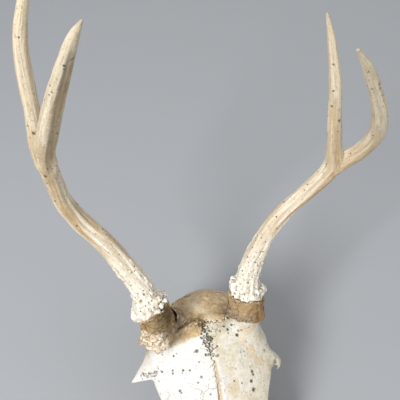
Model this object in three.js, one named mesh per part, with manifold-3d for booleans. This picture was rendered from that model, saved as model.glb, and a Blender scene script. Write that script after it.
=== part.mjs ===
// The skull of a young forkhorn buck, without its lower jaw, standing on its cheek teeth and on the
// two jugular processes at the back. The skull is modelled whole and parted along its sutures into
// bones. Each antler is a beam with its burr, a front tine and a rear tine, and a cuff of dried hide
// sits round each pedicle, between the forehead and the burr.
//
// Working frame, in millimetres: x to the animal's left, y back from the tip of the nose, z up from
// the grinding faces of the cheek teeth. The exported group shifts it to the middle of the base.
import * as THREE from "three";
import { mergeVertices } from "three/addons/utils/BufferGeometryUtils.js";
import Module from "manifold-3d";

const wasm = await Module();
wasm.setup();

// ---- driving dimensions ----
const ORIGIN_X = 8.22; // middle of the whole outline, in the working frame
const ORIGIN_Y = 144.28;
const SUTURE = 0.3; // clear gap between neighbouring solids
const CLEAR = 0.45; // the same beside sloping faces
const FAR = 140; // reaches past the skull on every side
const RING = 16; // least number of points round a section of the skull

const NOSTRIL_BACK = 112; // where the nose cavity ends
const SNOUT_BACK = 172;
const NASAL_FRONT = 53;
const NASAL_BACK = 146;
const NASAL_THICK = 5;

const ORBIT = { at: [46, 168, 64.5], radii: [28, 19.5, 18.5] };
const MAGNUM = { radius: 10.5, z: 46, front: 238 };
const PALATE_Z = 13;
const TOOTH_BASE = 0; // grinding level

const BURR_HEIGHT = 8;

// The bar behind each eye socket is snapped off and leaves a point on the forehead.
// Each entry is [x, y, z, half width, half height].
const BROW_POINTS = {
  left: [
    [30, 191, 89, 10, 4.5], [38, 186.5, 86.5, 7.2, 3.8], [44, 185.5, 81.5, 4.6, 3],
    [48.8, 185.3, 75, 1.9, 1.5],
  ],
  right: [
    [-30, 193, 90, 12, 4.5], [-39, 191.5, 87, 10, 3.2], [-48, 188, 82, 5.5, 2.2],
    [-56.5, 184.5, 77, 0.9, 0.7],
  ],
};
const PEDICLE_ROOM = 14; // radius round a pedicle that stays with its forehead bone

// Each side has its own antler, because the two differ. Points are [x, y, z, radius]. The cuff of dried
// hide is given as [share of the pedicle's height, radius].
const ANTLERS = {
  left: {
    side: 1,
    pedicle: [[26.5, 197, 84, 15], [26.2, 206, 101, 9.8], [27.4, 216, 124.5, 8.8]],
    hide: [[0.6, 12.3], [0.75, 12], [1, 10.8]],
    burr: 13,
    beam: [
      [28.3, 221, 134.5, 7.6], [32, 229, 146, 6.9], [40, 238, 161, 5.7], [51, 246, 174, 5.1],
      [67, 253, 187, 5], [77, 256.5, 196, 5.3], [83, 258, 206, 5.6],
    ],
    rearTine: [
      [81.5, 259.5, 216, 4.9], [78, 264, 241, 4], [76, 267, 258, 3.5], [70.5, 272, 283, 2.1],
      [66, 274, 296, 0.6],
    ],
    frontTine: [
      [87, 257.5, 209, 5], [94, 256, 218, 4.6], [97, 252, 235, 4.3], [92, 247, 257, 3.9],
      [83, 242, 278, 3], [73, 237, 297, 2], [64, 233, 310, 0.6],
    ],
  },
  right: {
    side: -1,
    pedicle: [[-29, 195.5, 83, 16], [-32.4, 204, 100, 11], [-35, 212.5, 121.5, 9.4]],
    hide: [[0.3, 13], [0.5, 14], [1, 12.2]],
    burr: 13.8,
    beam: [
      [-36.8, 220.5, 133.5, 7.9], [-40, 228, 141.5, 7.4], [-47, 237, 150, 6.9], [-59, 250, 166, 6.6],
      [-70, 258, 180, 6.3], [-77, 263, 196, 6], [-79, 265, 213, 5.9], [-77, 265, 229, 6],
    ],
    rearTine: [
      [-76.5, 266.5, 240, 4.4], [-73, 271, 261, 3.9], [-71, 275, 277, 3.8], [-67, 279, 297, 3.2],
      [-61, 283, 312, 2.4], [-51, 288, 333, 0.6],
    ],
    frontTine: [
      [-73, 264, 240, 5.4], [-67, 261, 255, 5.3], [-59, 257, 274, 5.1], [-52, 252, 290, 4.6],
      [-43, 245, 310, 3.8], [-37, 240, 323, 2.8], [-32, 237, 332, 1.1],
    ],
  },
};

// ---- curves and solids ----

// A smooth function through knots [position, value], flat beyond the ends.
function profile(...knots) {
  const slope = knots.map((k, i) => {
    const before = knots[Math.max(i - 1, 0)];
    const after = knots[Math.min(i + 1, knots.length - 1)];
    return (after[1] - before[1]) / (after[0] - before[0]);
  });
  return (at) => {
    if (at <= knots[0][0]) return knots[0][1];
    const i = knots.findIndex((k) => k[0] >= at) - 1;
    if (i < 0) return knots[knots.length - 1][1];
    const width = knots[i + 1][0] - knots[i][0];
    const t = (at - knots[i][0]) / width;
    const a = knots[i][1] * (1 + 2 * t) * (1 - t) ** 2 + knots[i + 1][1] * t * t * (3 - 2 * t);
    return a + width * (slope[i] * t * (1 - t) ** 2 - slope[i + 1] * t * t * (1 - t));
  };
}

function solidOf(geometry) {
  const bare = new THREE.BufferGeometry().setAttribute("position", geometry.getAttribute("position"));
  const merged = mergeVertices(geometry.index ? bare.setIndex(geometry.index) : bare, 1e-4);
  const build = (triVerts) => new wasm.Manifold(
    new wasm.Mesh({ numProp: 3, vertProperties: merged.attributes.position.array, triVerts }),
  );
  const corners = new Uint32Array(merged.index.array);
  const made = build(corners);
  if (made.volume() > 0) return made;
  return build(corners.map((c, i) => corners[i + [0, 1, -1][i % 3]]));
}

// Skins a stack of rings, each with the same number of points, and closes both ends.
function loft(rings) {
  const n = rings[0].length;
  const points = rings.flat();
  const index = [];
  for (let i = 0; i + 1 < rings.length; i++)
    for (let j = 0; j < n; j++) {
      const [a, b] = [i * n + j, i * n + ((j + 1) % n)];
      index.push(a, b, b + n, a, b + n, a + n);
    }
  const close = (ring, start, isLast) => {
    const middle = ring.reduce((sum, p) => sum.add(p), new THREE.Vector3()).divideScalar(n);
    const centre = points.push(middle) - 1;
    for (let j = 0; j < n; j++) {
      const [a, b] = [start + j, start + ((j + 1) % n)];
      index.push(...(isLast ? [a, b, centre] : [b, a, centre]));
    }
  };
  close(rings[0], 0, false);
  close(rings.at(-1), (rings.length - 1) * n, true);
  return solidOf(new THREE.BufferGeometry().setFromPoints(points).setIndex(index));
}

// A symmetric section across the skull at y, through the [x, z] points of its left half, top to bottom.
function section(y, half) {
  const other = half.slice(1, -1).reverse().map(([x, z]) => [-x, z]);
  const knots = [...half, ...other].map(([x, z]) => new THREE.Vector3(x, y, z));
  const count = knots.length * Math.ceil(RING / knots.length);
  return new THREE.CatmullRomCurve3(knots, true, "centripetal").getPoints(count).slice(0, -1);
}

const sections = (stations, halfAt) => stations.map((y) => section(y, halfAt(y)));

// A bar along points [x, y, z, half width, half height], each ring carried on from the last untwisted.
function bar(points, sides, steps) {
  const line = new THREE.CatmullRomCurve3(points.map((p) => new THREE.Vector3(...p.slice(0, 3))));
  const size = (i) => profile(...points.map((p, k) => [k, p[i]]));
  const [half, high] = [size(3), size(4)];
  const across = new THREE.Vector3(0, 0, 1).cross(line.getTangent(0));
  if (across.length() < 0.5) across.set(1, 0, 0);
  return loft(Array.from({ length: steps + 1 }, (_, k) => {
    const t = k / steps;
    const along = line.getTangent(t);
    across.addScaledVector(along, -across.dot(along)).normalize();
    const rise = new THREE.Vector3().crossVectors(across, along);
    return Array.from({ length: sides }, (_, j) => {
      const a = (2 * Math.PI * (j + 0.5)) / sides;
      return line.getPoint(t)
        .addScaledVector(across, half(t * (points.length - 1)) * Math.cos(a))
        .addScaledVector(rise, high(t * (points.length - 1)) * Math.sin(a));
    });
  }));
}

const rod = (points, sides, steps) => bar(points.map((p) => [...p, p[3]]), sides, steps);

function ball([x, y, z], [rx, ry, rz], across = 9, down = 6) {
  return solidOf(new THREE.SphereGeometry(1, across, down).scale(rx, ry, rz).translate(x, y, z));
}

// Pushes each corner of a polygon out by a distance.
function grown(polygon, by) {
  const area = polygon.reduce((sum, [x, y], i) => {
    const [u, v] = polygon[(i + 1) % polygon.length];
    return sum + x * v - u * y;
  }, 0);
  return polygon.map(([x, y], i) => {
    const [px, py] = polygon.at(i - 1);
    const [nx, ny] = polygon[(i + 1) % polygon.length];
    const a = new THREE.Vector2(y - py, px - x).normalize();
    const b = new THREE.Vector2(ny - y, x - nx).normalize();
    const out = a.clone().add(b).multiplyScalar((Math.sign(area) * by) / (1 + a.dot(b)));
    return [x + out.x, y + out.y];
  });
}

// A prism across the skull, from a [y, z] outline, between two x.
function sidePrism(outline, from, to) {
  const shape = new THREE.Shape(outline.map(([y, z]) => new THREE.Vector2(y, z)));
  const turn = new THREE.Matrix4().makeBasis(
    new THREE.Vector3(0, 1, 0), new THREE.Vector3(0, 0, 1), new THREE.Vector3(1, 0, 0),
  );
  const prism = new THREE.ExtrudeGeometry(shape, { depth: to - from, bevelEnabled: false });
  return solidOf(prism.applyMatrix4(turn).translate(from, 0, 0));
}

// A prism from the floor up, from an [x, y] outline.
function topPrism(outline, from, to) {
  const shape = new THREE.Shape(outline.map(([x, y]) => new THREE.Vector2(x, y)));
  const prism = new THREE.ExtrudeGeometry(shape, { depth: to - from, bevelEnabled: false });
  return solidOf(prism.translate(0, 0, from));
}

const join = (...solids) => solids.reduce((a, b) => a.add(b));
const flipped = (solid) => solid.scale([-1, 1, 1]);
const bothSides = (solid) => solid.add(flipped(solid));
const biggest = (solid) => solid.decompose().sort((a, b) => b.volume() - a.volume())[0];

// ---- outlines of the skull ----
const crown = profile([53, 50], [80, 59], [110, 70], [135, 80.5], [150, 87.5], [165, 94.5], [178, 100],
  [186, 103.3], [200, 108.2], [209, 109], [216, 107.8], [225, 104], [235, 96.5], [243, 85], [252, 67]);
const snoutTop = profile([0, 12], [15, 17], [35, 27], [50, 36], [60, 45], [70, 52.5], [80, 57], [110, 69],
  [140, 81.5], [155, 86], [172, 80]);
const snoutRoof = profile([0, 5], [20, 8], [60, 10], [90, 11], [120, 15], [140, 22], [155, 25], [172, 12]);
const snoutWide = profile([0, 8], [6, 11.5], [16, 14], [32, 13.5], [50, 16.5], [70, 21], [85, 26], [100, 30],
  [120, 35.5], [138, 38.5], [150, 41], [160, 36], [172, 16]);
const snoutWideZ = profile([0, 9], [20, 11], [40, 17], [60, 25], [80, 30], [100, 33], [120, 37], [140, 47],
  [172, 50]);
const snoutBase = profile([0, 7], [20, 11], [40, 12], [60, 15], [80, 21], [100, 26], [120, 30], [158, 30],
  [172, 13]);
const snoutBottom = profile([0, 7.5], [20, 9], [40, 14], [60, 17.5], [78, 15], [90, PALATE_Z],
  [160, PALATE_Z], [172, 24]);
const nasalHalf = profile([53, 6], [57, 8.6], [80, 10], [100, 11], [120, 13], [136, 14.2], [142, 11],
  [146, 4]);
const roofHalf = profile([136, 26], [150, 31], [160, 33.5], [167, 35.5], [173, 37.8], [179, 40.3],
  [186, 40.2], [193, 37.2], [202, 34], [214, 31.5]);
const roofEdge = profile([136, 68], [150, 76.5], [160, 81.5], [167, 84.5], [179, 86], [186, 86.5], [193, 89],
  [202, 93], [214, 92]);
const brainHalf = profile([190, 25], [200, 31], [210, 35], [222, 36.5], [232, 34.5], [240, 28.5], [248, 14]);

// ---- masses of the skull ----
function snout() {
  const stations = [0, 6, 20, 38, 56, 76, 98, 120, 142, 156, 165, SNOUT_BACK];
  const body = loft(sections(stations, (y) => {
    const top = snoutTop(y);
    const [wide, low] = [snoutWide(y), snoutBottom(y)];
    return [[0, top], [snoutRoof(y), top - 0.06 * (top - low) - 1], [wide, snoutWideZ(y)],
      [snoutBase(y), low + 1.5], [0, low]];
  }));
  const open = profile([-6, 2], [5, 3.5], [20, 7.5], [35, 9], [53, 12]);
  const mouth = loft(sections([-6, 8, 28, NASAL_FRONT], (y) => {
    const floor = Math.max(11, snoutBottom(y) + 3);
    return [[0, 80], [open(y), 80], [open(y), 40], [open(y), floor + 3], [0, floor]];
  }));
  const chamber = loft(sections([NASAL_FRONT - 3, 80, NOSTRIL_BACK], (y) => {
    const narrow = 12.5 - (6.5 * (y - NASAL_FRONT)) / (NOSTRIL_BACK - NASAL_FRONT);
    const [low, high] = [snoutBottom(y) + 4, snoutTop(y) - 7];
    return [[0, high], [narrow, high - 3], [narrow, (low + high) / 2], [narrow * 0.8, low + 2], [0, low]];
  }));
  const slit = topPrism([[-1.6, 8], [1.6, 8], [2.6, 30], [1.2, 52], [-1.2, 52], [-2.6, 30]], -5, 25);
  const throat = loft(sections([146, 160, 180], (y) => {
    const floor = 17 - (y - 146) / 4;
    return [[0, 37], [9, 35], [10, floor + 2], [0, floor]];
  }));
  return body.subtract(join(mouth, chamber, slit, throat));
}

// The plate of the vomer, upright in the floor of the nose.
const vomer = () => sidePrism([[62, 16], [114, 14], [114, 38], [80, 30], [66, 22]], -1.3, 1.3);

// The forehead: nearly flat on top, running out to the brow over each eye socket.
function forehead() {
  const stations = [136, 147, 158, 168, 178, 187, 196, 205, 214];
  return loft(sections(stations, (y) => {
    const [top, wide, edge] = [crown(y), roofHalf(y), roofEdge(y)];
    return [[0, top], [0.55 * wide, top - 0.17 * (top - edge)], [wide, edge], [wide - 2.5, edge - 4.5],
      [17, edge - 12], [0, edge - 14]];
  }));
}

function braincase() {
  return loft(sections([190, 200, 210, 220, 230, 240, 248], (y) => {
    const [top, wide] = [crown(y) - 0.4, brainHalf(y)];
    return [[0, top], [0.6 * wide, top - 0.14 * (top - 30)], [wide, 64], [0.74 * wide, 38], [0, 31]];
  }));
}

// The wall between the eye sockets, down to the base of the skull.
function middleWall() {
  const high = profile([115, 62], [150, 78], [214, 86]);
  return loft(sections([115, 150, 175, 195, 214], (y) =>
    [[0, high(y)], [17, high(y) - 4], [15.5, 62], [8, 40], [6.5, 26], [0, 24]]));
}

function skullBase() {
  const half = profile([158, 6], [200, 8.5], [228, 12], [246, 12]);
  return loft(sections([158, 200, 228, 246], (y) => [[0, 37], [half(y), 33], [half(y), 26], [0, 22.5]]));
}

// The occiput narrows to a rounded back, where the neck muscles held.
function occiput() {
  const half = profile([238, 33], [243, 28], [246, 20], [250, 9]);
  const high = profile([238, 76], [243, 71], [246, 66], [250, 60]);
  return loft(sections([238, 243, 246, 250], (y) =>
    [[0, high(y)], [0.5 * half(y), high(y) - 5], [half(y), 56], [0.86 * half(y), 38], [0, 27]]));
}

// The cheek arch is broken away: its root runs on under the eye socket and stops short, and so does the
// root by the hinge of the jaw.
function cheekArch() {
  const front = bar([[34, 134, 42, 6, 9], [42, 149, 41, 5, 8], [45.5, 158, 41, 3.2, 5.6],
    [47, 164, 42, 1.8, 3]], 8, 6);
  const back = bar([[29, 219, 51, 6, 7], [37, 213, 49.5, 5, 5], [41.5, 207, 50, 2.6, 3.4],
    [42, 203, 50.5, 1.2, 1.6]], 8, 5);
  return front.add(back);
}

// The plate that stands beside the throat, behind the palate.
const WING = [[156, 16], [163, 11], [176, 10], [183, 14], [187, 25], [184, 34], [156, 34]];
const wing = () => sidePrism(WING, 10.5, 13);

function underside() {
  const condyle = ball([13, 245.5, 37.5], [9.2, 9.5, 12.5]);
  const bulla = ball([22.5, 221, 21], [7.5, 11.5, 10]);
  const jugular = bar([[29, 242, 44, 6, 6], [31.5, 242, 27, 5, 4.6], [31, 241, 11, 3.4, 3.4],
    [30, 239.5, -0.5, 2.4, 2.4]], 8, 4);
  const earTube = bar([[26, 226, 40, 6, 6], [38.5, 228, 42, 5, 5]], 8, 1);
  return join(condyle, bulla, jugular, earTube, wing());
}

// One lobe of a cheek tooth, narrowing to its worn grinding face.
function lobe(x, y, wide, long) {
  const levels = [[PALATE_Z + 5, 1], [TOOTH_BASE - 0.5, 0.8]];
  const corners = 6;
  return loft(levels.map(([z, scale]) => Array.from({ length: corners }, (_, j) => {
    const a = (2 * Math.PI * j) / corners;
    const [across, along] = [0.54 * wide * scale, 0.56 * long * scale];
    return new THREE.Vector3(x + across * Math.cos(a), y + along * Math.sin(a), z);
  })));
}

// Three premolars of one lobe and three molars of two.
const LOBES = [8.5, 10, 10.5, 7.6, 7.4, 8.4, 8, 8.2, 7.6];
const LOBE_WIDTHS = [9, 11, 12.5, 14, 14, 15, 14.5, 14, 11.5];
const rowX = profile([84, 22], [105, 26], [125, 28.5], [145, 28.5], [160, 26.5]);
function toothRow() {
  let y = 84;
  return join(...LOBES.map((long, i) => {
    y += long;
    const middle = y - long / 2;
    return lobe(rowX(middle), middle, LOBE_WIDTHS[i], long + 0.8);
  }));
}

// Sockets, pits and holes that show.
function hollows() {
  const socket = ball(ORBIT.at, ORBIT.radii, 12, 7);
  const tearPit = ball([43, 137, 60], [6, 9, 8]);
  const sideWindow = ball([23.5, 131, 78], [5, 11, 7]);
  const cheekHole = ball([29.5, 91, 31], [4, 5, 3], 6, 4);
  const earHole = ball([39, 228, 42], [5, 3, 3], 6, 4);
  const palateVault = ball([0, 116, 12], [17, 48, 5], 10, 5);
  return join(bothSides(join(socket, tearPit, sideWindow, cheekHole, earHole)), palateVault);
}

function spinalHole() {
  const bore = new THREE.CylinderGeometry(MAGNUM.radius, MAGNUM.radius * 0.75, 30, 16);
  return solidOf(bore.translate(0, MAGNUM.front + 15, MAGNUM.z));
}

// The pair of nasal bones, a thin arched strip.
function nasals(extra = 0) {
  const stations = [NASAL_FRONT - extra, 57, 70, 90, 110, 126, 136, 142, NASAL_BACK + extra];
  return loft(sections(stations, (y) => {
    const [middle, half] = [crown(y) + 0.6, nasalHalf(y) + extra];
    const [top, low] = [middle + extra, middle - NASAL_THICK - extra];
    return [[0, top], [0.6 * half, top - 0.9], [half, middle - 3], [half * 0.8, low], [0, low]];
  }));
}

// The pedicle grows a little thinner towards the burr.
const pedicle = (antler, extra = 0) =>
  rod(antler.pedicle.map(([x, y, z, r]) => [x, y, z, r + extra]), 12, 3);

// ---- parting the skull into bones ----
const pieces = new Map();
const BONE = new THREE.MeshStandardMaterial({ color: 0xe9e2d2, roughness: 0.72, metalness: 0 });
const OLD_BONE = new THREE.MeshStandardMaterial({ color: 0xc9b391, roughness: 0.8, metalness: 0 });
const ANTLER = new THREE.MeshStandardMaterial({ color: 0xdccfb0, roughness: 0.55, metalness: 0 });
const HIDE = new THREE.MeshStandardMaterial({ color: 0x7d6650, roughness: 0.9, metalness: 0 });

function keep(name, solid, material) {
  pieces.set(name, { solid: biggest(solid), material });
}

// Where each paired bone is parted off, in this order: an outline seen from the side, as [y, z], and how
// far out from the middle the bone begins.
const BONES = [
  { name: "premaxilla", inner: 0, outline: [[-9, -9], [33, -9], [40, 20], [66, 47], [66, 60], [-9, 60]] },
  {
    name: "lacrimal",
    inner: 25,
    outline: [[127, 56], [140, 50], [153, 50], [153, 76], [139, 79], [127, 70]],
  },
  { name: "zygomatic", inner: 33, outline: [[131, 52], [141, 30], [170, 30], [170, 50], [140, 50]] },
  {
    name: "maxilla",
    inner: 0,
    outline: [[10, -9], [166, -9], [166, 46], [140, 50], [127, 56], [127, 74], [10, 74]],
  },
  {
    name: "frontal",
    inner: 0,
    outline: [[118, 73], [150, 66], [196, 66], [209, 78], [209, 140], [118, 140]],
  },
];
const FLANK = { name: "temporal", inner: 14, outline: [[190, -9], [245, -9], [245, 74], [190, 74]] };
const BACK = [[236, 86], [237, 34], [228, 26], [228, -9], [275, -9], [275, 120], [243, 120]];
const ROOF = [[205, 74], [260, 74], [260, 130], [205, 130]];

// The room a paired bone takes on one side. The forehead bone keeps the whole of its pedicle.
function roomOf({ name, outline, inner }, antler, by) {
  const from = inner ? inner - by : SUTURE / 2 - by;
  const prism = sidePrism(grown(outline, by), from, FAR);
  const room = antler.side > 0 ? prism : flipped(prism);
  if (name !== "frontal") return room;
  const [, [x, y, z], [topX, topY, topZ]] = antler.pedicle;
  const reach = PEDICLE_ROOM + by;
  return room.add(rod([[x, y, z - 2, reach], [x, y, z + 4, reach], [topX, topY, topZ, reach]], 12, 2));
}

function partSkull(whole) {
  let rest = whole.subtract(nasals(SUTURE));
  const nose = sidePrism([[40, 0], [160, 0], [160, 130], [40, 130]], SUTURE / 2, FAR);
  keep("nasal_left", nasals().intersect(nose), BONE);
  keep("nasal_right", nasals().intersect(flipped(nose)), BONE);
  const part = (bone) => {
    for (const [side, antler] of Object.entries(ANTLERS)) {
      const taken = rest.intersect(roomOf(bone, antler, 0));
      keep(`${bone.name}_${side}`, taken, BONE);
      rest = rest.subtract(roomOf(bone, antler, SUTURE));
    }
  };
  const single = (name, outline, material) => {
    keep(name, rest.intersect(sidePrism(outline, -FAR, FAR)), material);
    rest = rest.subtract(sidePrism(grown(outline, SUTURE), -FAR, FAR));
  };
  BONES.forEach(part);
  single("occipital", BACK, BONE);
  single("parietal", ROOF, OLD_BONE);
  part(FLANK);
  keep("skull_base", rest, BONE);
}

// ---- antlers ----
const pointOf = ([x, y, z]) => new THREE.Vector3(x, y, z);
const unit = (from, to) => pointOf(to).sub(pointOf(from)).normalize();

// A big block that starts at a point and fills the space on one side of a plane.
function halfSpace([x, y, z], normal, offset = 0) {
  const block = new THREE.BoxGeometry(400, 400, 400).translate(0, 0, 200 + offset);
  const turn = new THREE.Quaternion().setFromUnitVectors(new THREE.Vector3(0, 0, 1), normal);
  return solidOf(block.applyQuaternion(turn).translate(x, y, z));
}

// The knobbly ring at the foot of the antler.
function burr(antler) {
  const [, foot, top] = antler.pedicle;
  const along = unit(foot, top);
  const turn = new THREE.Quaternion().setFromUnitVectors(new THREE.Vector3(0, 0, 1), along);
  const knobs = 8;
  const shape = [[0, 0.82], [1.6, 1], [5, 0.98], [BURR_HEIGHT, 0.72]];
  const rings = shape.map(([height, share]) => Array.from({ length: knobs * 2 }, (_, j) => {
    const a = (Math.PI * j) / knobs;
    const reach = antler.burr * share * (j % 2 ? 1 : 0.9);
    return new THREE.Vector3(reach * Math.cos(a), reach * Math.sin(a), height + SUTURE)
      .applyQuaternion(turn).add(pointOf(top));
  }));
  return loft(rings);
}

function antlerPieces(name, antler) {
  const { pedicle: [, low, foot], beam, rearTine, frontTine } = antler;
  const along = unit(low, foot);
  const tip = beam.at(-1);
  const root = [foot[0], foot[1], foot[2], antler.beam[0][3] + 1.5];
  const shaft = rod([root, ...beam, [...tip.slice(0, 2), tip[2] + 5, tip[3] * 0.8]], 10, 12)
    .intersect(halfSpace(foot, along, SUTURE));
  const rear = rod([tip, ...rearTine], 8, 8);
  const front = rod([tip, ...frontTine], 8, 10);
  const upright = unit(beam.at(-2), tip);
  const above = halfSpace(tip, upright, SUTURE / 2);
  const below = halfSpace(tip, upright.clone().negate(), SUTURE / 2);
  keep(`antler_beam_${name}`, shaft.add(burr(antler)).intersect(below), ANTLER);
  keep(`antler_rear_tine_${name}`, rear.intersect(above), ANTLER);
  const wider = rearTine.map(([x, y, z, r]) => [x, y, z, r + SUTURE]);
  const cut = rod([[...tip.slice(0, 3), tip[3] + SUTURE], ...wider], 8, 8);
  keep(`antler_front_tine_${name}`, front.intersect(above).subtract(cut), ANTLER);
}

// Dried hide left round the pedicle, flaring where it lies on the forehead.
function hideCuff(name, antler, skull) {
  const [, foot, top] = antler.pedicle;
  const along = unit(foot, top);
  const at = (t, reach) => [...pointOf(foot).lerp(pointOf(top), t).toArray(), reach];
  const outer = rod(antler.hide.map(([share, reach]) => at(share, reach)), 12, 3);
  const room = outer.intersect(halfSpace(top, along.clone().negate(), SUTURE));
  const lifted = skull.translate(along.clone().multiplyScalar(CLEAR).toArray());
  const taken = join(pedicle(antler, CLEAR), lifted, skull);
  keep(`dried_hide_${name}`, room.subtract(taken), HIDE);
}

// ---- the whole ----
function build() {
  const openSnout = snout().add(vomer());
  const brows = Object.values(BROW_POINTS).map((points) => bar(points, 8, 4));
  const mass = join(openSnout, forehead(), ...brows, braincase(), middleWall(), skullBase(), occiput(),
    bothSides(cheekArch()), bothSides(underside()), bothSides(toothRow()));
  const bare = mass.subtract(hollows()).subtract(spinalHole());
  const aboveFloor = topPrism([[-FAR, -20], [FAR, -20], [FAR, 300], [-FAR, 300]], TOOTH_BASE, 300);
  const stands = bare.intersect(aboveFloor);
  partSkull(join(stands, ...Object.values(ANTLERS).map((antler) => pedicle(antler))));
  for (const [name, antler] of Object.entries(ANTLERS)) {
    antlerPieces(name, antler);
    hideCuff(name, antler, stands);
  }
}

function geometryOf(solid) {
  const { numProp, numVert, vertProperties, triVerts } = solid.getMesh();
  const points = Array.from({ length: numVert }, (_, i) =>
    new THREE.Vector3().fromArray(vertProperties, i * numProp));
  const geometry = new THREE.BufferGeometry().setFromPoints(points).setIndex([...triVerts]);
  geometry.computeVertexNormals();
  return geometry;
}

build();
const skull = new THREE.Group();
skull.position.set(-ORIGIN_X, -ORIGIN_Y, 0);
for (const [name, { solid, material }] of pieces) {
  const mesh = new THREE.Mesh(geometryOf(solid), material);
  mesh.name = name;
  skull.add(mesh);
}

const model = new THREE.Group();
model.add(skull);
export default model;
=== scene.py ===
# The skull of a young forkhorn buck, in the finish of old dry bone: each bone is its own closed piece,
# shaped as a field of distances cut into small cells, then skinned. Shapes are given in millimetres in
# the skull's own frame: x to its left, y back from the tip of the nose, z up from its cheek teeth.
import math

import bpy
import numpy as np
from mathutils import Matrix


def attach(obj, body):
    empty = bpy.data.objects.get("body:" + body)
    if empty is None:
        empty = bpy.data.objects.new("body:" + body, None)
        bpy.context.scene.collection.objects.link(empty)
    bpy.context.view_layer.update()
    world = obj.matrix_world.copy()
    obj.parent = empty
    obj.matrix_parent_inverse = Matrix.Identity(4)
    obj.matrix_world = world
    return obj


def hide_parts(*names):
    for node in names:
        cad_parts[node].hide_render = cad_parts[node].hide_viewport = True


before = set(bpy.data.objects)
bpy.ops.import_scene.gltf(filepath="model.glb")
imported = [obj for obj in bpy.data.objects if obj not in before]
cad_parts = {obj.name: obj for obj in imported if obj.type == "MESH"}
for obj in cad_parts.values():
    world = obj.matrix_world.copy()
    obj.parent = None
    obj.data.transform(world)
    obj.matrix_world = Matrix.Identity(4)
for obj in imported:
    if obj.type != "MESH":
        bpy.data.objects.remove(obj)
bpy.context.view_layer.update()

import openvdb
from mathutils import Matrix, Vector

SKULL_CENTRE = np.array([8.22, 144.28, 0.0])  # the row frame's origin, seen in the skull's own frame
MM = 0.001
SKULL_CELL = 0.6
ANTLER_CELL = 0.5
HIDE_CELL = 0.4
FAR = 30.0  # the distance given to empty space
SEAM = 0.12  # half the gap between two bones

# ---- camera ----
CAMERA_AT = (-7, 98, 429)
CAMERA_DOWN, CAMERA_TURN, CAMERA_ROLL = math.radians(56.6), math.radians(4.0), math.radians(-3.7)
VIEW_ANGLE = math.radians(45)


def in_row(point):
    return Vector((np.array(point, float) - SKULL_CENTRE) * MM)


def place_camera():
    level = math.cos(CAMERA_DOWN)
    ahead = Vector((math.sin(CAMERA_TURN) * level, math.cos(CAMERA_TURN) * level, -math.sin(CAMERA_DOWN)))
    right = Vector((math.cos(CAMERA_TURN), -math.sin(CAMERA_TURN), 0))
    up = right.cross(ahead)
    turned_right = right * math.cos(CAMERA_ROLL) + up * math.sin(CAMERA_ROLL)
    turned_up = up * math.cos(CAMERA_ROLL) - right * math.sin(CAMERA_ROLL)
    lens = bpy.data.cameras.new("view_from_above")
    lens.lens = lens.sensor_width / 2 / math.tan(VIEW_ANGLE / 2)
    lens.clip_start = 0.01
    camera = bpy.data.objects.new("view_from_above", lens)
    turn = Matrix((turned_right, turned_up, -ahead)).transposed().to_4x4()
    camera.matrix_world = Matrix.Translation(in_row(CAMERA_AT)) @ turn
    bpy.context.scene.collection.objects.link(camera)
    bpy.context.scene.camera = camera


place_camera()


# ---- curves ----
def profile(*knots):
    """A smooth curve through [position, value] knots, flat beyond the ends."""
    at, value = np.array(knots, float).T
    slope = np.gradient(value, at)
    slope[1:-1] = (value[2:] - value[:-2]) / (at[2:] - at[:-2])

    def curve(where):
        where = np.clip(where, at[0], at[-1])
        i = np.clip(np.searchsorted(at, where) - 1, 0, len(at) - 2)
        width = at[i + 1] - at[i]
        t = (where - at[i]) / width
        ends = value[i] * (1 + 2 * t) * (1 - t) ** 2 + value[i + 1] * t * t * (3 - 2 * t)
        return ends + width * (slope[i] * t * (1 - t) ** 2 - slope[i + 1] * t * t * (1 - t))

    return curve


def smooth_through(points, each):
    """Points on a smooth curve through the given ones. The first and last only steer its ends."""
    p = np.array(points, float)
    gap = np.maximum(np.linalg.norm(np.diff(p, axis=0), axis=1) ** 0.5, 1e-4)[:, None]
    t = np.linspace(0, 1, each, endpoint=False)[:, None]
    out = []
    for i in range(1, len(p) - 2):
        a, b, c = gap[i - 1], gap[i], gap[i + 1]
        leave = ((p[i] - p[i - 1]) / a - (p[i + 1] - p[i - 1]) / (a + b)) * b + (p[i + 1] - p[i])
        arrive = ((p[i + 2] - p[i + 1]) / c - (p[i + 2] - p[i]) / (b + c)) * b + (p[i + 1] - p[i])
        out.append(p[i] * (1 + 2 * t) * (1 - t) ** 2 + p[i + 1] * t * t * (3 - 2 * t)
                   + leave * t * (1 - t) ** 2 - arrive * t * t * (1 - t))
    return np.vstack(out + [p[-2]])


def path_through(points, each):
    p = np.array(points, float)
    return smooth_through(np.vstack([2 * p[0] - p[1], p, 2 * p[-1] - p[-2]]), each)


# ---- fields of distance ----
def soft_union(a, b, soft):
    blend = np.maximum(soft - np.abs(a - b), 0)
    return np.minimum(a, b) - blend * blend / (4 * soft)


def soft_meet(a, b, soft):
    return -soft_union(-a, -b, soft)


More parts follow.
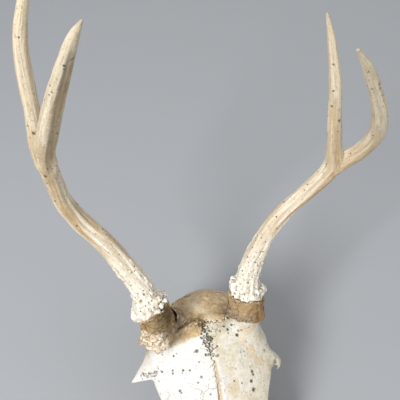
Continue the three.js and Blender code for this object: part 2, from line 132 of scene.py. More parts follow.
class Space:
    """A block of space cut into cells, each holding its distance from a surface, below zero inside."""

    def __init__(self, low, high, cell):
        self.cell = cell
        self.axes = [np.arange(math.floor(a / cell), math.ceil(b / cell) + 1, dtype=np.float32) * cell
                     for a, b in zip(low, high)]
        self.depth = np.full([len(axis) for axis in self.axes], FAR, np.float32)

    def cuts(self, low, high):
        return tuple(slice(*np.searchsorted(axis, (a, b))) for axis, a, b in zip(self.axes, low, high))

    def window(self, low, high):
        cuts = self.cuts(low, high)
        return (self.depth[cuts], *np.ix_(*(axis[cut] for axis, cut in zip(self.axes, cuts))))

    def work(self, shape, soft, how):
        depth_of, low, high = shape
        room = soft + 3 * self.cell + 1
        view, x, y, z = self.window(np.array(low) - room, np.array(high) + room)
        if view.size:
            view[...] = how(view, depth_of(x, y, z), soft)

    def add(self, shape, soft=1.0):
        self.work(shape, soft, soft_union)

    def cut(self, shape, soft=1.0):
        self.work(shape, soft, lambda a, b, soft: soft_meet(a, -b, soft))

    def at(self, points):
        """The distance at any points, read between the cells."""
        q = [np.clip((points[:, i] - self.axes[i][0]) / self.cell, 0, len(self.axes[i]) - 1.001)
             for i in range(3)]
        whole = [v.astype(int) for v in q]
        part = [v - w for v, w in zip(q, whole)]
        total = 0
        for corner in np.ndindex(2, 2, 2):
            share = 1
            for v, c in zip(part, corner):
                share = share * (v if c else 1 - v)
            total = total + share * self.depth[tuple(w + c for w, c in zip(whole, corner))]
        return total


def ball(at, radii):
    at, radii = np.array(at, float), np.array(radii, float)

    def depth_of(x, y, z):
        u, v, w = ((p - c) / r for p, c, r in zip((x, y, z), at, radii))
        near = np.sqrt(u * u + v * v + w * w)
        steep = np.sqrt((u / radii[0]) ** 2 + (v / radii[1]) ** 2 + (w / radii[2]) ** 2)
        return near * (near - 1) / np.maximum(steep, 1e-4)

    return depth_of, at - radii, at + radii


def limb(points, each=6):
    """A bar through points [x, y, z, radius], or [x, y, z, half width, half height]."""
    line = path_through(points, each)
    reach = line[:, 3:].max()
    across = np.cross((0, 0, 1), line[1, :3] - line[0, :3])
    flat = line.shape[1] == 5

    def depth_of(x, y, z):
        side = across / max(np.linalg.norm(across), 1e-6)
        axes = [axis.ravel() for axis in (x, y, z)]
        out = np.full([len(axis) for axis in axes], FAR, np.float32)
        for a, b in zip(line, line[1:]):
            low, high = np.minimum(a, b)[:3] - reach - 5, np.maximum(a, b)[:3] + reach + 5
            cuts = tuple(slice(*np.searchsorted(axis, (p, q))) for axis, p, q in zip(axes, low, high))
            if any(cut.start == cut.stop for cut in cuts):
                continue
            d = (b - a)[:3]
            along = d / np.linalg.norm(d)
            px, py, pz = np.ix_(*(axis[cut] - c for axis, cut, c in zip(axes, cuts, a)))
            t = np.clip((px * d[0] + py * d[1] + pz * d[2]) / (d @ d), 0, 1)
            qx, qy, qz = px - t * d[0], py - t * d[1], pz - t * d[2]
            if not flat:
                found = np.sqrt(qx * qx + qy * qy + qz * qz) - (a[3] + (b[3] - a[3]) * t)
            else:
                side = side - (side @ along) * along
                side = side / np.linalg.norm(side)
                rise = np.cross(side, along)
                wide, high_ = a[3] + (b[3] - a[3]) * t, a[4] + (b[4] - a[4]) * t
                thin = np.minimum(wide, high_)
                u = (qx * side[0] + qy * side[1] + qz * side[2]) / wide
                v = (qx * rise[0] + qy * rise[1] + qz * rise[2]) / high_
                w = (qx * along[0] + qy * along[1] + qz * along[2]) / thin
                near = np.sqrt(u * u + v * v + w * w)
                steep = np.sqrt((u / wide) ** 2 + (v / high_) ** 2 + (w / thin) ** 2)
                found = near * (near - 1) / np.maximum(steep, 1e-4)
            out[cuts] = np.minimum(out[cuts], found)
        return out

    return depth_of, line[:, :3].min(0) - reach, line[:, :3].max(0) + reach


def lofted(first, last, half_at, crest=None, blunt=2.0):
    """A body whose section across the skull follows the half outline [x, z], top to bottom, at each y.
    A crest adds height on the surface, by its angle from upright and its y."""
    samples = np.vstack([half_at(y) for y in np.linspace(first, last, 9)])
    wide, low, high = samples[:, 0].max() + 2, samples[:, 1].min() - 2, samples[:, 1].max() + 2

    def depth_of(x, y, z):
        x, ys, z = np.abs(x.ravel())[:, None], y.ravel(), z.ravel()[None, :]
        out = np.empty((x.size, ys.size, z.size), np.float32)
        for n, here in enumerate(ys):
            station = min(max(here, first), last)
            half = np.array(half_at(station), float)
            turned = half * (-1, 1)
            outline = smooth_through(np.vstack([turned[1], half, turned[-2]]), 14)
            middle = (half[0, 1] + half[-1, 1]) / 2
            angle = np.maximum.accumulate(np.arctan2(outline[:, 0], outline[:, 1] - middle))
            angle += np.arange(len(angle)) * 1e-6
            reach = np.hypot(outline[:, 0], outline[:, 1] - middle)
            if crest:
                reach = reach + crest(angle, station)
            slant = 1 / np.sqrt(1 + (np.gradient(reach, angle) / reach) ** 2)
            theta = np.arctan2(x, z - middle)
            out[:, n] = (np.hypot(x, z - middle) - np.interp(theta, angle, reach)) \
                * np.interp(theta, angle, slant)
        ends = np.maximum(first - ys, ys - last).astype(np.float32)
        return soft_meet(out, ends[None, :, None], blunt)

    return depth_of, (-wide, first, low), (wide, last, high)


def polygon_depth(outline, a, b):
    """Signed distance from a polygon in a plane."""
    points = np.array(outline, np.float32)
    nearest = None
    outside = 1.0
    for (pa, pb), (qa, qb) in zip(points, np.roll(points, -1, 0)):
        ea, eb = qa - pa, qb - pb
        wa, wb = a - pa, b - pb
        t = np.clip((wa * ea + wb * eb) / (ea * ea + eb * eb), 0, 1)
        gap = (wa - ea * t) ** 2 + (wb - eb * t) ** 2
        nearest = gap if nearest is None else np.minimum(nearest, gap)
        over = (pb <= b) != (qb <= b)
        left = wa * eb - wb * ea if eb > 0 else wb * ea - wa * eb
        outside = outside * np.where(over & (left < 0), -1.0, 1.0)
    return np.sqrt(nearest) * outside


def plate(outline, from_x, to_x):
    """An upright plate along the skull, from a [y, z] outline."""
    points = np.array(outline, float)
    half, middle = (to_x - from_x) / 2, (to_x + from_x) / 2

    def depth_of(x, y, z):
        return np.maximum(polygon_depth(outline, y, z), np.abs(x - middle) - half)

    return depth_of, (from_x, *points.min(0)), (to_x, *points.max(0))


# ---- roughness of old bone ----
LATTICE = np.random.default_rng(11).random((32, 32, 32), dtype=np.float32) * 2 - 1


def clouds(points, size, layer=0):
    """A smooth random value from -1 to 1 at each point, in lumps of about this size."""
    q = np.asarray(points, np.float32) / size + 7.31 * layer
    whole = np.floor(q).astype(int)
    part = q - whole
    part = part * part * (3 - 2 * part)
    total = 0
    for corner in np.ndindex(2, 2, 2):
        share = np.prod([part[:, i] if c else 1 - part[:, i] for i, c in enumerate(corner)], axis=0)
        total = total + share * LATTICE[tuple((whole[:, i] + c) % 32 for i, c in enumerate(corner))]
    return total


def step(low, high, value):
    t = np.clip((value - low) / (high - low), 0, 1)
    return t * t * (3 - 2 * t)


# ---- skins ----
class Skin:
    """The closed surface of a field, in quads."""

    def __init__(self, depth, low, cell):
        edge = 3 * cell
        padded = np.pad(np.clip(depth, -edge, edge), 1, constant_values=edge)
        grid = openvdb.FloatGrid(edge)
        grid.copyFromArray(np.ascontiguousarray(padded, dtype=np.float32))
        points, quads = grid.convertToQuads(0.0)
        self.points = (points - 1.0) * cell + np.array(low, float)
        self.quads = quads.astype(np.int64)
        self.cell = cell
        self.keep_biggest()

    def keep_biggest(self):
        a, b = self.quads.ravel(), np.roll(self.quads, -1, 1).ravel()
        label = np.arange(len(self.points))
        while True:
            least = np.minimum(label[a], label[b])
            np.minimum.at(label, a, least)
            np.minimum.at(label, b, least)
            label = label[label]
            if (label[a] == label[b]).all():
                break
        main = np.bincount(label).argmax()
        kept = label == main
        self.quads = self.quads[kept[self.quads[:, 0]]]
        place = np.cumsum(kept) - 1
        self.quads = place[self.quads]
        self.points = self.points[kept]

    def spread(self, values):
        """The mean of each point's neighbours."""
        count = len(self.points)
        total = np.zeros((count, values.shape[1]))
        number = np.zeros(count)
        for turn in (1, -1):
            to, source = self.quads.ravel(), np.roll(self.quads, turn, 1).ravel()
            number += np.bincount(to, minlength=count)
            for k in range(values.shape[1]):
                total[:, k] += np.bincount(to, values[source, k], count)
        return total / number[:, None]

    def smooth(self, rounds=1, share=0.5):
        for _ in range(rounds):
            self.points += (self.spread(self.points) - self.points) * share

    def normals(self):
        p = self.points[self.quads]
        face = np.cross(p[:, 2] - p[:, 0], p[:, 3] - p[:, 1])
        out = np.zeros_like(self.points)
        for k in range(3):
            for c in range(4):
                out[:, k] += np.bincount(self.quads[:, c], face[:, k], len(out))
        return out / np.maximum(np.linalg.norm(out, axis=1), 1e-9)[:, None]

    def hollowness(self, rounds=3):
        """Above zero in a groove or pit, below zero on a ridge."""
        bend = ((self.spread(self.points) - self.points) * self.normals()).sum(1) / self.cell
        for _ in range(rounds):
            bend = 0.5 * bend + 0.5 * self.spread(bend[:, None])[:, 0]
        return bend

    def swell(self, height):
        self.points = self.points + self.normals() * height[:, None]

    def piece(self, name, marks):
        """The finished piece, with its marks kept on its points."""
        mesh = bpy.data.meshes.new(name)
        mesh.vertices.add(len(self.points))
        mesh.vertices.foreach_set("co", ((self.points - SKULL_CENTRE) * MM).astype(np.float32).ravel())
        mesh.loops.add(self.quads.size)
        mesh.loops.foreach_set("vertex_index", self.quads.astype(np.int32).ravel())
        mesh.polygons.add(len(self.quads))
        mesh.polygons.foreach_set("loop_start", np.arange(0, self.quads.size, 4, dtype=np.int32))
        mesh.update(calc_edges=True)
        mesh.validate()
        mesh.polygons.foreach_set("use_smooth", np.ones(len(mesh.polygons), bool))
        for mark, values in marks.items():
            kind, field = ("FLOAT", "value") if values.ndim == 1 else ("FLOAT_VECTOR", "vector")
            layer = mesh.attributes.new(mark, kind, "POINT")
            layer.data.foreach_set(field, values.astype(np.float32).ravel())
        made = bpy.data.objects.new(name, mesh)
        bpy.context.scene.collection.objects.link(made)
        return made


# ---- outlines of the skull ----
crown = profile(
    [53, 50], [80, 59], [110, 70], [135, 80.5], [150, 87.5], [165, 94.5], [178, 100], [186, 103.3],
    [200, 108.2], [209, 109], [216, 107.8], [225, 104], [235, 96.5], [243, 85], [252, 67])
snout_top = profile(
    [0, 12], [15, 17], [35, 27], [50, 36], [60, 45], [70, 52.5], [80, 57], [110, 69], [140, 81.5],
    [155, 86], [172, 80])
snout_roof = profile([0, 5], [20, 8], [60, 10], [90, 11], [120, 15], [140, 22], [155, 25], [172, 12])
snout_wide = profile(
    [0, 8], [6, 11.5], [16, 14], [32, 13.5], [50, 16.5], [70, 21], [85, 26], [100, 30], [120, 35.5],
    [138, 38.5], [150, 41], [160, 36], [172, 16])
snout_wide_z = profile(
    [0, 9], [20, 11], [40, 17], [60, 25], [80, 30], [100, 33], [120, 37], [140, 47], [172, 50])
snout_base = profile(
    [0, 7], [20, 11], [40, 12], [60, 15], [80, 21], [100, 26], [120, 30], [158, 30], [172, 13])
snout_bottom = profile([0, 7.5], [20, 9], [40, 14], [60, 17.5], [78, 15], [90, 13], [160, 13], [172, 24])
mouth_open = profile([-6, 2], [5, 3.5], [20, 7.5], [35, 9], [53, 12])
nasal_half = profile([53, 6], [57, 8.6], [80, 10], [100, 11], [120, 13], [136, 14.2], [142, 11], [146, 4])
roof_half = profile(
    [136, 26], [150, 31], [160, 33.5], [167, 35.5], [173, 37.8], [179, 40.3], [186, 40.2], [193, 37.2],
    [202, 34], [214, 31.5])
roof_edge = profile(
    [136, 68], [150, 76.5], [160, 81.5], [167, 84.5], [179, 86], [186, 86.5], [193, 89], [202, 93],
    [214, 92])
brain_half = profile([190, 25], [200, 31], [210, 35], [222, 36.5], [232, 34.5], [240, 28.5], [248, 14])
wall_high = profile([115, 62], [150, 78], [214, 86])
base_half = profile([158, 6], [200, 8.5], [228, 12], [246, 12])
nape_half = profile([238, 33], [243, 28], [246, 20], [250, 9])
nape_high = profile([238, 76], [243, 71], [246, 66], [250, 60])

NASAL_FRONT, NASAL_BACK, NASAL_THICK = 53, 146, 5
NOSTRIL_BACK = 112
ORBIT = ball((46, 168, 64.5), (28, 19.5, 18.5))

BROW_POINTS = {
    "left": [(30, 191, 89, 10, 4.5), (38, 186.5, 86.5, 7.2, 3.8), (44, 185.5, 81.5, 4.6, 3),
             (48.8, 185.3, 75, 1.9, 1.5)],
    "right": [(-30, 193, 90, 12, 4.5), (-39, 191.5, 87, 10, 3.2), (-48, 188, 82, 5.5, 2.2),
              (-56.5, 184.5, 77, 0.9, 0.7)],
}
PEDICLES = {
    "left": [(26.5, 197, 84, 15), (26.2, 206, 101, 9.8), (27.4, 216, 124.5, 8.8)],
    "right": [(-29, 195.5, 83, 16), (-32.4, 204, 100, 11), (-34.6, 212.5, 121.5, 8.6)],
}
SIDES = {"left": 1, "right": -1}
# The corners of the box that the skull is modelled in.
SKULL_LOW, SKULL_HIGH = (-62, -4, -3), (62, 268, 137)


# ---- masses of the skull ----
def snout_section(y):
    top, low, wide = snout_top(y), snout_bottom(y), snout_wide(y)
    return [[0, top], [snout_roof(y), top - 0.06 * (top - low) - 1], [wide, snout_wide_z(y)],
            [snout_base(y), low + 1.5], [0, low]]


def mouth_section(y):
    floor, wide = max(11, snout_bottom(y) + 3), mouth_open(y)
    return [[0, 80], [wide, 80], [wide, 40], [wide, floor + 3], [0, floor]]


def nose_chamber_section(y):
    narrow = 12.5 - 6.5 * (y - NASAL_FRONT) / (NOSTRIL_BACK - NASAL_FRONT)
    low, high = snout_bottom(y) + 4, snout_top(y) - 7
    return [[0, high], [narrow, high - 3], [narrow, (low + high) / 2], [narrow * 0.8, low + 2], [0, low]]


def throat_section(y):
    floor = 17 - (y - 146) / 4
    return [[0, 37], [9, 35], [10, floor + 2], [0, floor]]


def forehead_section(y):
    top, wide, edge = crown(y), roof_half(y), roof_edge(y)
    return [[0, top], [0.55 * wide, top - 0.17 * (top - edge)], [wide, edge], [wide - 2.5, edge - 4.5],
            [17, edge - 12], [0, edge - 14]]


def braincase_section(y):
    top, wide = crown(y) - 0.4, brain_half(y)
    return [[0, top], [0.6 * wide, top - 0.14 * (top - 30)], [wide, 64], [0.74 * wide, 38], [0, 31]]


def eye_wall_section(y):
    high = wall_high(y)
    return [[0, high], [17, high - 4], [15.5, 62], [8, 40], [6.5, 26], [0, 24]]


def base_section(y):
    return [[0, 37], [base_half(y), 33], [base_half(y), 26], [0, 22.5]]


def nape_section(y):
    half, high = nape_half(y), nape_high(y)
    return [[0, high], [0.5 * half, high - 5], [half, 56], [0.86 * half, 38], [0, 27]]


def nasal_section(y):
    middle, half = crown(y) + 0.6, nasal_half(y)
    low = middle - NASAL_THICK
    return [[0, middle], [0.6 * half, middle - 0.9], [half, middle - 3], [half * 0.8, low], [0, low]]


temple_line = profile([206, 0.75], [220, 0.6], [232, 0.5], [246, 0.42])


def temple_crest(angle, y):
    """The raised line where the chewing muscle ended, on each side of the dome."""
    return 0.8 * step(203, 212, y) * np.exp(-(((angle - temple_line(y)) / 0.05) ** 2))


# The lobes of the cheek teeth from front to back: how long and how wide.
LOBES = [(8.5, 9), (10, 11), (10.5, 12.5), (7.6, 14), (7.4, 14), (8.4, 15), (8, 14.5), (8.2, 14),
         (7.6, 11.5)]
ROW_START = 84
row_x = profile([84, 22], [105, 26], [125, 28.5], [145, 28.5], [160, 26.5])


def tooth_lobe(at_x, at_y, wide, long):
    """One lobe of a cheek tooth, worn to two crescents with a pit between them."""
    def depth_of(x, y, z):
        u, v = (x - at_x) / (0.54 * wide), (y - at_y) / (0.54 * long)
        taper = 0.84 + 0.16 * np.clip(z / 14, 0, 1)
        rib = 1 + 0.05 * np.cos(v * 6.3) * (u > 0)
        around = (np.abs(u) ** 2.4 + np.abs(v) ** 2.4) ** (1 / 2.4)
        column = (around - taper * rib) * 0.5 * min(wide, long)
        pit = np.exp(-((u - 0.05 - 0.35 * v * v) ** 2) / 0.03 - v ** 2 / 0.4)
        slant = 1.3 * np.clip(-u, 0, 1) ** 2 + 1.0 * np.clip(u - 0.6, 0, 1)
        worn = 0.25 + 2.2 * pit + slant + 1.2 * v ** 4
        return np.maximum(soft_meet(column, worn - z, 0.5), z - 19)

    return depth_of, (at_x - wide, at_y - long, -1), (at_x + wide, at_y + long, 19)


def add_teeth(half):
    y = ROW_START
    for long, wide in LOBES:
        half.add(tooth_lobe(float(row_x(y + long / 2)), y + long / 2, wide, long + 0.6), 0.5)
        y += long


def raise_orbit_rim(half):
    """The socket's edge stands up as a rounded rim."""
    depth_of, low, high = ORBIT
    view, x, y, z = half.window(np.array(low) - 8, np.array(high) + 8)
    near = depth_of(x, y, z)
    view -= 1.1 * np.exp(-((near - 1) / 2.6) ** 2) * step(24, 30, x) * step(46, 60, z + 0 * y)


def half_skull():
    half = Space((0, *SKULL_LOW[1:]), SKULL_HIGH, SKULL_CELL)
    add, cut = half.add, half.cut
    add(lofted(0, 172, snout_section), 1)
    cut(lofted(-6, NASAL_FRONT, mouth_section), 1.2)
    cut(lofted(NASAL_FRONT - 3, NOSTRIL_BACK, nose_chamber_section), 1.2)
    # The slots in the palate behind the front of the snout.
    cut(limb([(0, -2, 10, 1.4, 9), (0, 14, 10, 2, 9), (0, 30, 12, 2.4, 9), (0, 50, 16, 1, 9)]), 0.8)
    cut(limb([(6.5, 20, 10, 1.6, 6), (7.5, 32, 12, 2.6, 7), (8, 44, 15, 1.4, 7)]), 0.8)
    cut(lofted(146, 180, throat_section), 1.5)
    # The nose's inner wall and its scrolls.
    add(plate([[62, 16], [114, 14], [114, 38], [80, 30], [66, 22]], -1.3, 1.3), 1)
    add(limb([(9, 64, 33, 1.2, 3.4), (8.4, 84, 38, 1.6, 5), (6, 112, 44, 1.6, 5)]), 1)
    add(limb([(9.5, 66, 24.5, 1, 2.2), (8, 88, 27, 1.4, 3.4), (5, 112, 30, 1.4, 4)]), 1)
    add(lofted(136, 214, forehead_section, blunt=3), 3)
    add(lofted(115, 214, eye_wall_section), 5)
    add(lofted(190, 248, braincase_section, temple_crest, blunt=4), 4)
    add(lofted(158, 246, base_section), 3)
    add(lofted(238, 250, nape_section, blunt=3), 3)
    # The ridges on the back of the head.
    add(limb([(0, 243, 77.5, 2), (12, 241.5, 74, 2.2), (23, 238.5, 67, 2.2), (32, 235, 57, 2.2),
        (34, 234, 44, 2)]), 3)
    add(limb([(0, 245, 74, 1.5), (0, 248.5, 63, 1.2)]), 3)
    # The stumps of the cheek arch, in front and behind.
    add(limb([(34, 134, 42, 6, 9), (42, 149, 41, 5, 8), (45.5, 158, 41, 3.2, 5.6),
        (47, 164, 42, 1.8, 3)]), 3)
    add(limb([(29, 219, 51, 6, 7), (37, 213, 49.5, 5, 5), (41.5, 207, 50, 2.6, 3.4),
        (42, 203, 50.5, 1.2, 1.6)]), 3)
    add(limb([(33, 233, 56, 2.2), (36, 224, 52, 2.4), (39, 214, 50, 2.2)]), 2.5)
    add(limb([(27, 98, 34, 1.6), (33, 112, 34, 1.8), (37, 124, 35, 1.6)]), 3)
    # The condyle, the ear drum and the jugular process.
    add(ball((13, 245.5, 37.5), (9.2, 9.5, 12.5)), 2)
    add(ball((22.5, 221, 21), (7.5, 11.5, 10)), 1.2)
    add(ball((6, 237, 23), (3.4, 6, 2.4)), 2)
    add(limb([(29, 242, 44, 6, 6), (31.5, 242, 27, 5, 4.6), (31, 241, 11, 3.4, 3.4),
        (30, 239.5, 2.4, 2.2, 2.2)]), 2)
    add(limb([(26, 226, 40, 6), (38.5, 228, 42, 5)]), 2)
    add(plate([[156, 16], [163, 11], [176, 10], [183, 14], [187, 25], [184, 34],
        [156, 34]], 10.8, 12.8), 1.2)
    add(limb([(12.5, 182, 14, 1), (13.5, 184, 11.5, 0.8)]), 1)
    add_teeth(half)
    raise_orbit_rim(half)
    # The eye socket, the pits in front of it, and the holes for nerves and vessels.
    cut(ORBIT, 1.2)
    cut(ball((43, 137, 60), (6, 9, 8)), 2)
    cut(ball((23.5, 131, 78), (5, 11, 7)), 1)
    cut(limb([(23, 118, 29, 2), (27, 97, 30.5, 3), (31, 84, 31, 2.6)]), 1.5)
    cut(ball((40, 228, 42), (6, 3, 3)), 0.8)
    cut(ball((0, 116, 12), (17, 48, 5)), 2)
    cut(ball((41, 150.5, 70), (5, 2, 1.7)), 0.6)
    cut(ball((41, 150, 63), (5, 2, 1.7)), 0.6)
    cut(limb([(12, 197, 50, 2.6), (17, 189, 54, 3)]), 1)
    cut(ball((18, 180, 44), (6, 2.4, 3)), 1)
    cut(ball((19, 168, 46), (4, 2, 2)), 1)
    cut(ball((10.5, 118, 15), (2, 4, 4)), 0.8)
    cut(ball((17, 207, 27), (3, 4.5, 4)), 1)
    cut(ball((17, 236.5, 30), (2.4, 2.4, 3)), 1)
    cut(ball((27, 232, 27), (2, 2, 5)), 0.8)
    # The great hole at the back.
    cut(limb([(0, 234, 45, 7.5), (0, 262, 47, 11)]), 1.5)
    return half


# Small holes in the forehead, and the line of the broken brow: [x, y, z, radius].
PORES = [
    (13.3, 202.7, 107.3, 0.7), (20.3, 200.9, 107.6, 0.6), (19.2, 198.9, 105.2, 0.9),
    (22.2, 200.3, 109, 0.6), (14.9, 210.9, 106.7, 0.8), (16.6, 205.6, 107.3, 0.6),
    (11.2, 205, 107.8, 0.5), (23.5, 204, 109.5, 0.6), (-24.8, 191.9, 100.3, 0.7),
    (-26.6, 183.4, 97.2, 0.5), (-26.7, 181.6, 96.5, 0.5), (-19.6, 182, 99.6, 0.6),
    (-15.2, 181.2, 100.2, 0.5), (-8.1, 176.2, 99.1, 0.6), (-23.3, 170.6, 93.6, 0.7),
    (-9, 191.8, 105.1, 0.9), (26.1, 176.4, 94.8, 0.8), (26.4, 174.6, 94, 0.6),
    (24.5, 170.8, 93, 0.9), (25.3, 165.8, 90.4, 1.0),
]
SNAGS = [
    (-49.4, 187.4, 83.6, 0.5), (-47, 185.6, 85, 0.9), (-44.2, 184.6, 86, 1.1), (-42, 184.6, 87.4, 0.9),
    (-40, 184.8, 88.8, 1.1), (-37.6, 185.8, 91, 1.0), (-35.2, 186.6, 92.6, 1.2), (-33.8, 185.6, 93.2, 0.8),
]
suture_x = profile([146, 0], [160, 1.6], [176, 1.4], [185, 0.9], [194, -0.5], [201, -1.7], [208, -2.8])


def suture_holes():
    """Pin-prick holes that crowd along the suture of the forehead."""
    draw = np.random.default_rng(5)
    holes = []
    for _ in range(115):
        y = draw.uniform(187, 212)
        aside = draw.normal(0, 2.1)
        holes.append((float(suture_x(y)) + aside, y, float(crown(y)) - 0.012 * aside ** 2,
                      draw.uniform(0.3, 0.65)))
    return holes


def snag_holes():
    """The ragged line where the brow has broken, as many small bites."""
    draw = np.random.default_rng(8)
    line = np.array(SNAGS)
    ends = np.arange(len(line))
    bites = []
    for place in np.linspace(0, len(line) - 1, 46):
        at = [np.interp(place, ends, line[:, k]) for k in range(4)]
        aside = draw.normal(0, (0.3, 0.7, 0.3))
        bites.append((*(at[:3] + aside), at[3] * draw.uniform(0.5, 0.9)))
    return bites


HOLES = PORES + snag_holes() + suture_holes()


def add_forehead_wear(skull):
    """Marks that the two sides don't share."""
    skull.cut(ball((48.8, 184, 72), (4, 4, 6)), 0.8)
    skull.add(limb([(45.6, 186.6, 82.4, 1.5), (47.3, 185, 79.6, 1.2), (47.7, 183.2, 76.4, 0.9),
                    (46.7, 181.6, 73, 0.6), (45.6, 181.2, 71.6, 0.45)]), 1.0)
    skull.cut(ball((44.6, 182.4, 83.4), (2.2, 2.8, 4.6)), 0.6)
    for x, y, z, radius in HOLES:
        skull.cut(ball((x, y, z), (radius, radius, 2.6 * radius)), 0.3)
    skull.cut(limb([(suture_x(y) + 0.4, y, crown(y) + 1.4, 1.9) for y in (186, 178, 170, 160, 150)]), 1)
    skull.add(limb([(suture_x(y) + 3.4, y, crown(y) - 1.2, 1.7) for y in (184, 176, 166, 156)]), 2)


def whole_skull():
    half = half_skull()
    skull = Space(SKULL_LOW, SKULL_HIGH, SKULL_CELL)
    skull.depth = np.concatenate([half.depth[:0:-1], half.depth])
    skull.axes[0] = np.concatenate([-half.axes[0][:0:-1], half.axes[0]])
    for name, points in BROW_POINTS.items():
        skull.add(limb(points), 2.5)
        skull.add(limb(PEDICLES[name]), 4)
        middle, _ = burr_plane(name)
        view, x, y, z = skull.window(middle - 20, middle + 20)
        view[...] = np.maximum(view, above_burr(name, x, y, z) + BURR_UNDER + 0.1)
    view, x, y, z = skull.window((-62, 140, 20), (62, 200, 110))
    view[...] = soft_meet(view, -ORBIT[0](np.abs(x), y, z), 1.0)
    add_forehead_wear(skull)
    return skull


# ---- parting the skull into bones ----
BONES = [
    ("premaxilla", 0, [[-9, -9], [33, -9], [40, 20], [66, 47], [66, 60], [-9, 60]]),
    ("lacrimal", 25, [[127, 56], [140, 50], [153, 50], [153, 76], [139, 79], [127, 70]]),
    ("zygomatic", 33, [[131, 52], [141, 30], [170, 30], [170, 50], [140, 50]]),
    ("maxilla", 0, [[10, -9], [166, -9], [166, 46], [140, 50], [127, 56], [127, 74], [10, 74]]),
    ("frontal", 0, [[118, 73], [150, 66], [196, 66], [209, 78], [209, 140], [118, 140]]),
]
BACK = [[236, 86], [237, 34], [228, 26], [228, -9], [275, -9], [275, 120], [243, 120]]
ROOF = [[205, 74], [260, 74], [260, 130], [205, 130]]
FLANK = ("temporal", 14, [[190, -9], [245, -9], [245, 74], [190, 74]])
PEDICLE_ROOM = 14
zigzag = profile([140, 0.12], [165, 0.3], [178, 0.6], [186, 1.3], [206, 1.5], [225, 1.0])


def wandering(x, y, z):
    """Sutures wander: the point, moved a little, that the straight partings are measured from."""
    amount = zigzag(y).astype(np.float32)
    weave = amount * (np.sin(1.9 * y + 0.6 * np.sin(0.9 * y)) + 0.5 * np.sin(4.1 * y + 1)) * 0.7
    near_x = x - suture_x(y).astype(np.float32) + weave
    near_y = y + 0.8 * np.sin(1.5 * x) + 0.5 * np.sin(3.1 * x + 1) + 0.6 * np.sin(1.4 * z)
    near_z = z + 0.8 * np.sin(1.3 * y + 2) + 0.4 * np.sin(3 * y) + 0.3 * np.sin(2.2 * x)
    return near_x, near_y, near_z


def bone_room(bone, side, x, y, z):
    name, inner, outline = bone
    wx, wy, wz = wandering(x, y, z)
    room = np.maximum(polygon_depth(outline, wy, wz), inner - wx * SIDES[side])
    if name == "frontal":
        low, top = np.array(PEDICLES[side][1][:3]), np.array(PEDICLES[side][2][:3])
        d = top - low
        t = np.clip(((x - low[0]) * d[0] + (y - low[1]) * d[1] + (z - low[2]) * d[2]) / (d @ d), 0, 1.4)
        away = np.sqrt((x - low[0] - d[0] * t) ** 2 + (y - low[1] - d[1] * t) ** 2
                       + (z - low[2] - d[2] * t) ** 2)
        room = np.minimum(room, away - PEDICLE_ROOM)
    return room


def room_of(outline):
    return lambda x, y, z: polygon_depth(outline, *wandering(x, y, z)[1:])


def room_box(bone, side):
    name, inner, outline = bone
    points = np.array(outline, float)
    low, high = points.min(0) - 5, points.max(0) + 5
    if name == "frontal":
        high = np.maximum(high, (226, 140))
    near, far = inner - 4, 62
    return ((near, *low), (far, *high)) if side == "left" else ((-far, *low), (-near, *high))


def take_bone(rest, low, high, room_at):
    """Parts one bone from the rest, and leaves the gap of a suture between them."""
    view, x, y, z = rest.window(low, high)
    room = room_at(x, y, z)
    bone = soft_meet(view, room + SEAM, 0.2)
    view[...] = soft_meet(view, SEAM - room, 0.2)
    return bone, (x.flat[0], y.flat[0], z.flat[0])


def bone_fields(skull):
    """Yields each bone's name, its field and the lowest corner of the field."""
    rest = skull
    depth_of, low, high = lofted(NASAL_FRONT, NASAL_BACK, nasal_section, blunt=1)
    view, x, y, z = rest.window(np.array(low) - 3, np.array(high) + 3)
    nasal = depth_of(x, y, z)
    low = (x.flat[0], y.flat[0], z.flat[0])
    view[...] = soft_meet(view, 2 * SEAM - nasal, 0.5)
    middle = x + 0.1 * np.sin(1.2 * y) + 0 * z
    notch = np.hypot(x, (y - 52) * 0.6) - 3.2 + 0 * z
    nasal = soft_meet(nasal, -notch, 0.8)
    for side, sign in SIDES.items():
        yield f"nasal_{side}", soft_meet(nasal, SEAM - middle * sign, 0.5), low
    for bone in BONES:
        for side in SIDES:
            field, low = take_bone(rest, *room_box(bone, side),
                                   lambda x, y, z: bone_room(bone, side, x, y, z))
            yield f"{bone[0]}_{side}", field, low
    yield "occipital", *take_bone(rest, (-62, 224, -3), (62, 268, 124), room_of(BACK))
    yield "parietal", *take_bone(rest, (-62, 200, 68), (62, 266, 127), room_of(ROOF))
    for side in SIDES:
        field, low = take_bone(rest, *room_box(FLANK, side),
                               lambda x, y, z: bone_room(FLANK, side, x, y, z))
        yield f"temporal_{side}", field, low
    yield "skull_base", rest.depth, [axis[0] for axis in rest.axes]


# ---- how the old bone has weathered, and its painted light and shade ----
stain_edge = profile(
    [-50, 199], [-38, 195.5], [-28, 196.5], [-18, 197.5], [-8, 198.5], [-3, 202], [3, 209.5], [10, 208.5],
    [18, 207], [30, 209], [50, 205])


def blot(p, x, y, wide, long):
    """A soft spot, seen from above, from 0 to 1."""
    return np.exp(-(((p[:, 0] - x) / wide) ** 2) - ((p[:, 1] - y) / long) ** 2)


def behind_edge(p):
    """How far behind the wandering edge of the soil brown, in mm."""
    return p[:, 1] - stain_edge(p[:, 0]) - 2.4 * clouds(p, 5, 1) - 1.8 * clouds(p, 2, 2)


